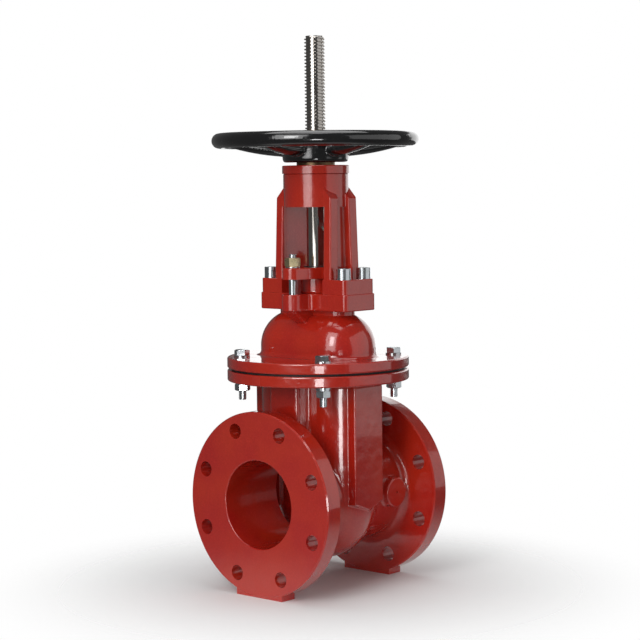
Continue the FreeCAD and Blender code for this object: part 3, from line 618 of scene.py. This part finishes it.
def grown(name, blank, tree, sizes, extras=()):
    """Run a geometry tree (and finishing modifiers) on a blank and keep the plain mesh it gives."""
    seed = bpy.data.objects.new(name + "_seed", blank)
    bpy.context.scene.collection.objects.link(seed)
    modifier = seed.modifiers.new("grow", "NODES")
    modifier.node_group = tree
    for socket in tree.interface.items_tree:
        if socket.in_out == "INPUT" and socket.name in sizes:
            modifier[socket.identifier] = sizes[socket.name]
    for kind, settings in extras:
        extra = seed.modifiers.new(kind.lower(), kind)
        for setting, value in settings.items():
            setattr(extra, setting, value)
    seed.update_tag()
    bpy.context.view_layer.update()
    view = bpy.context.evaluated_depsgraph_get()
    mesh = bpy.data.meshes.new_from_object(seed.evaluated_get(view), depsgraph=view)
    mesh.name = name
    mesh.materials.clear()
    mesh.materials.append(sizes["Material"])
    bpy.data.objects.remove(seed)
    piece = bpy.data.objects.new(name, mesh)
    bpy.context.scene.collection.objects.link(piece)
    return piece


def rounded(radius_in, radius_out, low, high, corner):
    """Closed outline of a ring with small rounded corners."""
    corner = min(corner, (high - low) / 2.2, (radius_out - radius_in) / 2.2)
    outline = []
    outer = radius_out - corner
    inner = radius_in + corner
    for x, z, start in ((outer, low + corner, -90), (outer, high - corner, 0),
                        (inner, high - corner, 90), (inner, low + corner, 180)):
        for step in (0, 30, 60, 90):
            angle = math.radians(start + step)
            outline.append((x + corner * math.cos(angle), z + corner * math.sin(angle), 0))
    return outline


threads = thread_group()
set_out = fastener_tree(threads)
stem_steel = machined_metal("stem_steel", (0.56, 0.53, 0.50, 1), (0.50, 0.46, 0.42, 1),
                            0.13, (30, 30, 5000), 0.000004, 0)
shank_radius = 0.0125
thread_foot = 0.518
shank_outline = [
    # tenon that the wedge nut holds, with its end chamfer
    (0, 0.292, 0), (0.0105, 0.292, 0), (0.011, 0.2925, 0), (0.011, 0.3053, 0), (0.0122, 0.3053, 0),
    # shank up to the coned back-seat collar
    (shank_radius, 0.3056, 0), (shank_radius, 0.3256, 0), (0.0128, 0.326, 0), (0.0177, 0.3279, 0),
    (0.018, 0.3282, 0), (0.018, 0.3332, 0), (0.0178, 0.3335, 0), (shank_radius, 0.3335, 0),
    # polished length up to the thread
    (shank_radius, 0.42, 0), (shank_radius, thread_foot, 0),
]
stem = grown("stem_threaded", turned_blank("stem_blank", shank_outline, stem_columns), set_out, {
    "Material": stem_steel, "Threaded": True,
    "Crest Radius": stem_crest, "Root Radius": stem_root, "Pitch": thread_pitch,
    "Lead": -thread_lead, "Bottom": thread_foot, "Top": stem_top,
    "Shank Radius": shank_radius, "End Radius": stem_root, "Columns": stem_columns,
    "Spacing X": 0.0, "Spacing Y": 0.0, "Height": 0.0, "Head Down": 0.0,
    "First Turn": 0.0, "Turn Step": 0.0,
})
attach(stem, "stem")
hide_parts("stem")
finish_node("stem_pin", stem_steel)


# ------------------------------------------------------------ stuffing box
# Bronze back-seat bushing, four rings of square braided packing and the follower that squeezes
# them. All sit in the bonnet's barrel; only the wiper at the top of the gland is in the open.
def braided(name, light, dark):
    """Plaited packing yarn: crossing strands wrapped round the ring, greased with graphite."""
    material = bpy.data.materials.new(name)
    material.use_nodes = True
    tree = material.node_tree
    nodes = tree.nodes
    links = tree.links
    nodes.clear()
    place = nodes.new("ShaderNodeTexCoord")
    place.label = "place on the ring"
    plait = nodes.new("ShaderNodeTexWave")
    plait.label = "strands one way"
    plait.wave_type = "BANDS"
    plait.bands_direction = "DIAGONAL"
    plait.inputs["Scale"].default_value = 160
    plait.inputs["Distortion"].default_value = 0.8
    cross = nodes.new("ShaderNodeTexWave")
    cross.label = "strands the other way"
    cross.wave_type = "BANDS"
    cross.bands_direction = "Z"
    cross.inputs["Scale"].default_value = 150
    cross.inputs["Distortion"].default_value = 1.2
    weave = nodes.new("ShaderNodeMath")
    weave.label = "plait"
    weave.operation = "MAXIMUM"
    tone = nodes.new("ShaderNodeValToRGB")
    tone.label = "graphite in the hollows"
    tone.color_ramp.elements[0].color = dark
    tone.color_ramp.elements[1].color = light
    relief = nodes.new("ShaderNodeBump")
    relief.label = "strand height"
    relief.inputs["Distance"].default_value = 0.0003
    shader = nodes.new("ShaderNodeBsdfPrincipled")
    shader.label = "greased yarn"
    shader.inputs["Roughness"].default_value = 0.55
    output = nodes.new("ShaderNodeOutputMaterial")
    output.label = "packing"
    links.new(place.outputs["Object"], plait.inputs["Vector"])
    links.new(place.outputs["Object"], cross.inputs["Vector"])
    links.new(plait.outputs["Fac"], weave.inputs[0])
    links.new(cross.outputs["Fac"], weave.inputs[1])
    links.new(weave.outputs["Value"], tone.inputs["Fac"])
    links.new(weave.outputs["Value"], relief.inputs["Height"])
    links.new(tone.outputs["Color"], shader.inputs["Base Color"])
    links.new(relief.outputs["Normal"], shader.inputs["Normal"])
    links.new(shader.outputs["BSDF"], output.inputs["Surface"])
    lay_out(tree, {
        "where": [place],
        "plait": [plait, cross, weave, tone, relief],
        "yarn": [shader, output],
    })
    return material


packing_braid = braided("packing_braid", (0.22, 0.21, 0.19, 1), (0.03, 0.03, 0.03, 1))
for ring_name in ("packing_ring_1", "packing_ring_2", "packing_ring_3", "packing_ring_4"):
    finish_node(ring_name, packing_braid)
finish_node("backseat_bushing", bronze_darkened_as_painted_shade)
finish_node("packing_follower", bronze_darkened_as_painted_shade)
finish_node("stem_wiper", black_rubber)


# ------------------------------------------------------------ gland flange, studs and nuts
# Oval red-enamelled gland drawn down by two zinc-plated studs; its hexagon nuts are brass so that
# they can always be undone. Stud ends stand a few threads proud of the nuts.
gland_red = cast_enamel("red_enamel_gland", red_film, red_thin_film, red_deep_film,
                        no_faced_end, 0.10, 0.0004)
finish_node("gland_flange", gland_red)
bright_zinc = machined_metal("bright_zinc", (0.66, 0.70, 0.74, 1), (0.58, 0.63, 0.62, 1),
                             0.2, (500, 500, 900), 0.00001, 0.2)
nut_brass = machined_metal("nut_brass", (0.9, 0.76, 0.46, 1), (0.8, 0.64, 0.36, 1),
                           0.3, (300, 300, 1500), 0.00001, 0.1)
m10_pitch = 1.5 * millimetre
m10_root = 4.1 * millimetre
m10_crest = 4.95 * millimetre
m10_flats = 17 * millimetre
stud_x = 45.4 * millimetre
hexagon_inset = 0.96           # the flat end face over the width across flats
hexagon_rise = 0.62            # height of the corner chamfer over its width
hexagon_steps = 7
m10_thread = {"Crest Radius": m10_crest, "Root Radius": m10_root, "Pitch": m10_pitch,
              "Lead": m10_pitch, "Shank Radius": 0.005, "End Radius": m10_root}


def hexagon_outline(flats, low, high, hole):
    """Hexagon nut: holed, with both ends turned to a cone so that the corners are chamfered."""
    corner = flats / math.sqrt(3)
    inner = flats / 2 * hexagon_inset
    wide = corner - inner
    drop = wide * hexagon_rise
    lead_in = 0.0006
    outline = [(hole, low + lead_in, 0), (hole + lead_in, low, 0), (inner, low, flats)]
    for step in range(1, hexagon_steps + 1):
        share = step / hexagon_steps
        outline.append((inner + wide * share, low + drop * share, flats))
    for step in range(hexagon_steps, 0, -1):
        share = step / hexagon_steps
        outline.append((inner + wide * share, high - drop * share, flats))
    outline += [(inner, high, flats), (hole + lead_in, high, 0), (hole, high - lead_in, 0)]
    return outline


stud_outline = [(0, 0.3535, 0), (0.0044, 0.3535, 0), (0.005, 0.3541, 0), (0.005, 0.396, 0)]
studs = grown("gland_studs_threaded", turned_blank("stud_blank", stud_outline, 32), set_out, {
    "Material": bright_zinc, "Threaded": True, **m10_thread, "Bottom": 0.396, "Top": 0.419,
    "Columns": 32, "Spacing X": 2 * stud_x, "Spacing Y": 0.0, "Height": 0.0, "Head Down": 0.0,
    "First Turn": 0.0, "Turn Step": 1.3,
})
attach(studs, "valve")
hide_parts("gland_studs")
gland_nuts = grown("gland_nuts_hexagon", turned_blank(
    "gland_nut_blank", hexagon_outline(m10_flats, 0.4035, 0.4145, 0.0051), 60, True), set_out, {
    "Material": nut_brass, "Threaded": False, "Spacing X": 2 * stud_x, "Spacing Y": 0.0,
    "Height": 0.0, "Head Down": 0.0, "First Turn": math.radians(-12), "Turn Step": math.radians(24),
})
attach(gland_nuts, "valve")
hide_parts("gland_nuts")
gland_washers = grown("gland_washers_round", turned_blank(
    "gland_washer_blank", rounded(0.0051, 0.009, 0.402, 0.4035, 0.0003), 48, True), set_out, {
    "Material": bright_zinc, "Threaded": False, "Spacing X": 2 * stud_x, "Spacing Y": 0.0,
    "Height": 0.0, "Head Down": 0.0, "First Turn": 0.0, "Turn Step": 0.0,
})
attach(gland_washers, "valve")
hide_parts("gland_washers")


# ------------------------------------------------------------ bonnet bolts
# Four M10 zinc-plated hexagon bolts, heads up, with a plain washer under each head and a plain
# washer, spring washer and nut below. Each was left at its own angle by the spanner.
bolt_spacing = 2 * 67.6 * millimetre
first_turn = math.radians(57)
turn_step = math.radians(37)
head_face = 0.2919
head_high = 7 * millimetre
bolt_length = 56.1 * millimetre
bolt_shank = 5 * millimetre
bolt_plain = 28 * millimetre   # unthreaded length under the head
bolt_head = m10_flats / math.sqrt(3)
bolt_inner = m10_flats / 2 * hexagon_inset
bolt_wide = bolt_head - bolt_inner
bolt_outline = [(0, -head_high, 0), (bolt_inner, -head_high, m10_flats)]
for step in range(1, hexagon_steps + 1):
    share = step / hexagon_steps
    bolt_outline.append((bolt_inner + bolt_wide * share,
                         -head_high + bolt_wide * hexagon_rise * share, m10_flats))
bolt_outline += [(bolt_head, -0.0003, m10_flats), (bolt_inner, 0, m10_flats), (0.0053, 0, 0),
                 (bolt_shank, 0.0003, 0), (bolt_shank, bolt_plain, 0)]
bolts = grown("bonnet_bolts_hexagon", turned_blank("bolt_blank", bolt_outline, 60), set_out, {
    "Material": bright_zinc, "Threaded": True, **m10_thread, "Bottom": bolt_plain,
    "Top": bolt_length, "Columns": 60, "Spacing X": bolt_spacing, "Spacing Y": bolt_spacing,
    "Height": head_face, "Head Down": 1.0, "First Turn": first_turn, "Turn Step": turn_step,
})
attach(bolts, "valve")
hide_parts("bonnet_bolts")
nuts = grown("bonnet_nuts_hexagon", turned_blank(
    "bolt_nut_blank", hexagon_outline(m10_flats, 0.2473, 0.2563, 0.0051), 60, True), set_out, {
    "Material": bright_zinc, "Threaded": False, "Spacing X": bolt_spacing, "Spacing Y": bolt_spacing,
    "Height": 0.0, "Head Down": 0.0, "First Turn": first_turn + math.radians(15),
    "Turn Step": turn_step,
})
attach(nuts, "valve")
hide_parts("bonnet_nuts")
finish_node("bonnet_washers", bright_zinc)
finish_node("bonnet_spring_washers", bright_zinc)


# ------------------------------------------------------------ yoke and its screws
# Red-enamelled casting with two grooved arms and a collar, held to the bonnet by four M12 socket
# screws on spring washers. A small hexagon screw for a valve tag stands in one arm.
yoke_red = cast_enamel("red_enamel_yoke", red_film, red_thin_film, red_deep_film,
                       no_faced_end, 0.11, 0.0004)
finish_node("yoke", yoke_red)
finish_node("yoke_cap", yoke_red)
finish_node("yoke_screws", bright_zinc)
finish_node("yoke_spring_washers", bright_zinc)
finish_node("yoke_tag_screw", bright_zinc)


# ------------------------------------------------------------ stem nut and its bearings
# Bronze sleeve with the mating left-hand thread, carried between two bronze thrust washers in the
# collar and closed in by the yoke cap. The handwheel is keyed to its neck.
# These bronze parts take the darkened bronze colour, a painted shade for the shadowed stem-nut neck.
for bearing in ("lower_thrust_washer", "upper_thrust_washer", "stem_nut"):
    finish_node(bearing, bronze_darkened_as_painted_shade)


# ------------------------------------------------------------ handwheel
# One-piece iron casting in gloss black enamel: round rim, five oval arms that drop to a drum hub,
# and generous cast fillets where the arms run in. Key, washer and nut hold it on the stem nut.
def wheel_tree():
    """Rim, hub and arms from their sizes; the arms follow a curve from the hub up to the rim."""
    tree = bpy.data.node_groups.new("handwheel_casting", "GeometryNodeTree")
    new_socket(tree, "Geometry", "NodeSocketGeometry")
    new_socket(tree, "Material", "NodeSocketMaterial")
    for socket_name, default in (("Rim Radius", 0.1205), ("Rim Section", 0.0095), ("Rim Height", 0.56)):
        new_socket(tree, socket_name, "NodeSocketFloat", default)
    new_socket(tree, "Arms", "NodeSocketInt", 5)
    new_socket(tree, "First Arm", "NodeSocketFloat", 0.0)
    new_socket(tree, "Arm Start", "NodeSocketVector", (0.03, 0, 0.547))
    new_socket(tree, "Arm Middle", "NodeSocketVector", (0.078, 0, 0.552))
    new_socket(tree, "Arm End", "NodeSocketVector", (0.1205, 0, 0.56))
    new_socket(tree, "Arm Width", "NodeSocketFloat", 0.0135)
    new_socket(tree, "Arm Taper", "NodeSocketFloat", 0.66)
    new_socket(tree, "Arm Flatness", "NodeSocketFloat", 0.6)
    tree.interface.new_socket(name="Geometry", in_out="OUTPUT", socket_type="NodeSocketGeometry")
    nodes = tree.nodes
    links = tree.links
    given = nodes.new("NodeGroupInput")
    size = given.outputs
    rim_line = nodes.new("GeometryNodeCurvePrimitiveCircle")
    rim_line.inputs["Resolution"].default_value = 240
    links.new(size["Rim Radius"], rim_line.inputs["Radius"])
    section = nodes.new("GeometryNodeCurvePrimitiveCircle")
    section.inputs["Resolution"].default_value = 36
    links.new(size["Rim Section"], section.inputs["Radius"])
    rim = nodes.new("GeometryNodeCurveToMesh")
    links.new(rim_line.outputs["Curve"], rim.inputs["Curve"])
    links.new(section.outputs["Curve"], rim.inputs["Profile Curve"])
    lift = nodes.new("ShaderNodeCombineXYZ")
    links.new(size["Rim Height"], lift.inputs["Z"])
    high_rim = nodes.new("GeometryNodeTransform")
    links.new(rim.outputs["Mesh"], high_rim.inputs["Geometry"])
    links.new(lift.outputs["Vector"], high_rim.inputs["Translation"])
    arm_line = nodes.new("GeometryNodeCurveQuadraticBezier")
    arm_line.inputs["Resolution"].default_value = 32
    links.new(size["Arm Start"], arm_line.inputs["Start"])
    links.new(size["Arm Middle"], arm_line.inputs["Middle"])
    links.new(size["Arm End"], arm_line.inputs["End"])
    level = nodes.new("GeometryNodeSetCurveNormal")
    level.mode = "Z_UP"
    links.new(arm_line.outputs["Curve"], level.inputs["Curve"])
    along = nodes.new("GeometryNodeSplineParameter")
    narrow = nodes.new("ShaderNodeMapRange")
    narrow.inputs["To Min"].default_value = 1
    links.new(along.outputs["Factor"], narrow.inputs["Value"])
    links.new(size["Arm Taper"], narrow.inputs["To Max"])
    thick = nodes.new("GeometryNodeSetCurveRadius")
    links.new(level.outputs["Curve"], thick.inputs["Curve"])
    links.new(narrow.outputs["Result"], thick.inputs["Radius"])
    oval_line = nodes.new("GeometryNodeCurvePrimitiveCircle")
    oval_line.inputs["Resolution"].default_value = 32
    links.new(size["Arm Width"], oval_line.inputs["Radius"])
    flatten = nodes.new("ShaderNodeCombineXYZ")
    flatten.inputs["X"].default_value = 1
    flatten.inputs["Z"].default_value = 1
    links.new(size["Arm Flatness"], flatten.inputs["Y"])
    oval = nodes.new("GeometryNodeTransform")
    links.new(oval_line.outputs["Curve"], oval.inputs["Geometry"])
    links.new(flatten.outputs["Vector"], oval.inputs["Scale"])
    arm = nodes.new("GeometryNodeCurveToMesh")
    arm.inputs["Fill Caps"].default_value = True
    links.new(thick.outputs["Curve"], arm.inputs["Curve"])
    links.new(oval.outputs["Geometry"], arm.inputs["Profile Curve"])
    links.new(narrow.outputs["Result"], arm.inputs["Scale"])
    hinge = nodes.new("GeometryNodeMeshLine")
    hinge.mode = "OFFSET"
    hinge.inputs["Offset"].default_value = (0, 0, 0)
    links.new(size["Arms"], hinge.inputs["Count"])
    number = nodes.new("GeometryNodeInputIndex")
    step = calculate(tree, "DIVIDE", 2 * math.pi, size["Arms"])
    bearing_angle = calculate(tree, "ADD", size["First Arm"],
                              calculate(tree, "MULTIPLY", number.outputs["Index"], step))
    turn = nodes.new("ShaderNodeCombineXYZ")
    links.new(bearing_angle, turn.inputs["Z"])
    arms = nodes.new("GeometryNodeInstanceOnPoints")
    links.new(hinge.outputs["Mesh"], arms.inputs["Points"])
    links.new(arm.outputs["Mesh"], arms.inputs["Instance"])
    links.new(turn.outputs["Vector"], arms.inputs["Rotation"])
    whole = nodes.new("GeometryNodeJoinGeometry")
    links.new(size["Geometry"], whole.inputs["Geometry"])
    links.new(high_rim.outputs["Geometry"], whole.inputs["Geometry"])
    links.new(arms.outputs["Instances"], whole.inputs["Geometry"])
    real = nodes.new("GeometryNodeRealizeInstances")
    links.new(whole.outputs["Geometry"], real.inputs["Geometry"])
    paint = nodes.new("GeometryNodeSetMaterial")
    links.new(real.outputs["Geometry"], paint.inputs["Geometry"])
    links.new(size["Material"], paint.inputs["Material"])
    given_back = nodes.new("NodeGroupOutput")
    links.new(paint.outputs["Geometry"], given_back.inputs["Geometry"])
    return tree


black_enamel = cast_enamel("black_enamel_wheel", (0.008, 0.008, 0.009, 1), (0.014, 0.014, 0.015, 1),
                           (0.006, 0.006, 0.006, 1), no_faced_end, 0.06, 0.0004)
hub_outline = rounded(0.0182, 0.0415, 0.532, 0.5585, 0.004)
handwheel = grown("handwheel_cast", turned_blank("hub_blank", hub_outline, 96, True), wheel_tree(), {
    "Material": black_enamel, "Rim Radius": 0.1205, "Rim Section": 0.0095, "Rim Height": 0.56,
    "Arms": 5, "First Arm": math.radians(41.5), "Arm Start": (0.03, 0, 0.547),
    "Arm Middle": (0.078, 0, 0.5475), "Arm End": (0.1205, 0, 0.56), "Arm Width": 0.0135,
    "Arm Taper": 0.66, "Arm Flatness": 0.6,
}, (
    ("REMESH", {"mode": "VOXEL", "voxel_size": 0.0014, "use_smooth_shade": True}),
    ("SMOOTH", {"factor": 0.5, "iterations": 8}),
))
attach(handwheel, "handwheel")
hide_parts("handwheel")
for small_part in ("handwheel_key", "handwheel_washer", "handwheel_nut"):
    finish_node(small_part, bright_zinc)


# ------------------------------------------------------------ floor, light and camera
# Plain white studio: a wide pale floor, one tall softbox at the left, a low one in front, a large
# dim card at the right and a soft light overhead.
floor_mesh = bpy.data.meshes.new("studio_floor")
floor_half = 3.0
floor_mesh.from_pydata([(-floor_half, -floor_half, 0), (floor_half, -floor_half, 0),
                        (floor_half, floor_half, 0), (-floor_half, floor_half, 0)], [], [(0, 1, 2, 3)])
floor = bpy.data.objects.new("studio_floor", floor_mesh)
bpy.context.scene.collection.objects.link(floor)
paper = bpy.data.materials.new("floor_paper")
paper.use_nodes = True
paper_nodes = paper.node_tree.nodes
paper_links = paper.node_tree.links
paper_nodes.clear()
paper_place = paper_nodes.new("ShaderNodeTexCoord")
paper_place.label = "place on the floor"
paper_reach = paper_nodes.new("ShaderNodeVectorMath")
paper_reach.label = "distance from the valve"
paper_reach.operation = "LENGTH"
paper_fade = paper_nodes.new("ShaderNodeMapRange")
paper_fade.label = "the paper fades out into the white room"
paper_fade.interpolation_type = "SMOOTHSTEP"
paper_fade.inputs["From Min"].default_value = 0.1
paper_fade.inputs["From Max"].default_value = 0.45
paper_matt = paper_nodes.new("ShaderNodeBsdfDiffuse")
paper_matt.label = "matt white paper"
paper_matt.inputs["Color"].default_value = (0.9, 0.9, 0.9, 1)
paper_clear = paper_nodes.new("ShaderNodeBsdfTransparent")
paper_clear.label = "room beyond"
paper_blend = paper_nodes.new("ShaderNodeMixShader")
paper_blend.label = "paper into room"
paper_out = paper_nodes.new("ShaderNodeOutputMaterial")
paper_out.label = "floor"
paper_links.new(paper_place.outputs["Object"], paper_reach.inputs[0])
paper_links.new(paper_reach.outputs["Value"], paper_fade.inputs["Value"])
paper_links.new(paper_fade.outputs["Result"], paper_blend.inputs["Fac"])
paper_links.new(paper_matt.outputs["BSDF"], paper_blend.inputs[1])
paper_links.new(paper_clear.outputs["BSDF"], paper_blend.inputs[2])
paper_links.new(paper_blend.outputs["Shader"], paper_out.inputs["Surface"])
lay_out(paper.node_tree, {
    "where": [paper_place, paper_reach, paper_fade],
    "paper": [paper_matt, paper_clear, paper_blend, paper_out],
})
floor_mesh.materials.append(paper)

world = bpy.data.worlds.new("studio")
bpy.context.scene.world = world
world.use_nodes = True
sky_nodes = world.node_tree.nodes
sky_links = world.node_tree.links
sky_nodes.clear()
sky_path = sky_nodes.new("ShaderNodeLightPath")
sky_path.label = "seen straight on"
sky_wall = sky_nodes.new("ShaderNodeBackground")
sky_wall.label = "white wall"
sky_wall.inputs["Color"].default_value = (1, 1, 1, 1)
sky_wall.inputs["Strength"].default_value = 1
sky_room = sky_nodes.new("ShaderNodeBackground")
sky_room.label = "light in the room"
sky_room.inputs["Color"].default_value = (1, 1, 1, 1)
sky_room.inputs["Strength"].default_value = 0.09
sky_blend = sky_nodes.new("ShaderNodeMixShader")
sky_blend.label = "wall or room"
sky_out = sky_nodes.new("ShaderNodeOutputWorld")
sky_out.label = "studio"
sky_links.new(sky_path.outputs["Is Camera Ray"], sky_blend.inputs["Fac"])
sky_links.new(sky_room.outputs["Background"], sky_blend.inputs[1])
sky_links.new(sky_wall.outputs["Background"], sky_blend.inputs[2])
sky_links.new(sky_blend.outputs["Shader"], sky_out.inputs["Surface"])
lay_out(world.node_tree, {
    "which is seen": [sky_path],
    "wall and room": [sky_wall, sky_room, sky_blend, sky_out],
})

softboxes = (
    # name, direction round the valve (degrees, 0 = toward -Y), distance, height, wide, tall, power
    ("tall_softbox", -78, 1.7, 1.05, 1.05, 1.9, 16),
    ("softbox_core", -75, 1.65, 1.0, 0.4, 0.9, 7),
    ("low_softbox", -47, 0.95, 0.1125, 0.17, 0.185, 1.1),
    ("right_card", 22, 1.7, 0.7, 2.3, 1.6, 7),
    ("wall_light", 108, 2.4, 0.8, 2.6, 1.5, 14),
)
for box_name, around, away, high, wide, tall, power in softboxes:
    lamp = bpy.data.lights.new(box_name, "AREA")
    lamp.shape = "RECTANGLE"
    lamp.size = wide
    lamp.size_y = tall
    lamp.energy = power
    box = bpy.data.objects.new(box_name, lamp)
    bearing = math.radians(around)
    spot = Vector((away * math.sin(bearing), -away * math.cos(bearing), high))
    aim = Vector((0, 0, min(high, 0.35)))
    faced = (spot - aim).to_track_quat("Z", "Y").to_matrix().to_4x4()
    box.matrix_world = Matrix.Translation(spot) @ faced
    box.visible_camera = False
    bpy.context.scene.collection.objects.link(box)
overhead = bpy.data.lights.new("overhead", "AREA")
overhead.shape = "RECTANGLE"
overhead.size = 1.6
overhead.size_y = 1.6
overhead.energy = 16
overhead_box = bpy.data.objects.new("overhead", overhead)
overhead_box.location = (0, 0, 2.2)
overhead_box.visible_camera = False
bpy.context.scene.collection.objects.link(overhead_box)

view_azimuth = math.radians(-48.541)
view_elevation = math.radians(4.236)
view_roll = math.radians(-0.668)
view_distance = 2.35022
view_shift = 0.00303
view_height = 0.219574 + 0.115
lens_length = 105.0576
back = Vector((math.sin(view_azimuth) * math.cos(view_elevation),
               -math.cos(view_azimuth) * math.cos(view_elevation), math.sin(view_elevation)))
level_right = Vector((math.cos(view_azimuth), math.sin(view_azimuth), 0))
level_up = back.cross(level_right)
right = level_right * math.cos(view_roll) + level_up * math.sin(view_roll)
up = level_up * math.cos(view_roll) - level_right * math.sin(view_roll)
eye = Vector((0, 0, view_height)) + back * view_distance + right * view_shift
camera_data = bpy.data.cameras.new("product_view")
camera_data.sensor_fit = "HORIZONTAL"
camera_data.sensor_width = 36
camera_data.lens = lens_length
camera_data.clip_end = 100
camera = bpy.data.objects.new("product_view", camera_data)
camera.matrix_world = Matrix((
    (right.x, up.x, back.x, eye.x), (right.y, up.y, back.y, eye.y),
    (right.z, up.z, back.z, eye.z), (0, 0, 0, 1)))
bpy.context.scene.collection.objects.link(camera)
bpy.context.scene.camera = camera
bpy.context.scene.view_settings.view_transform = "Standard"
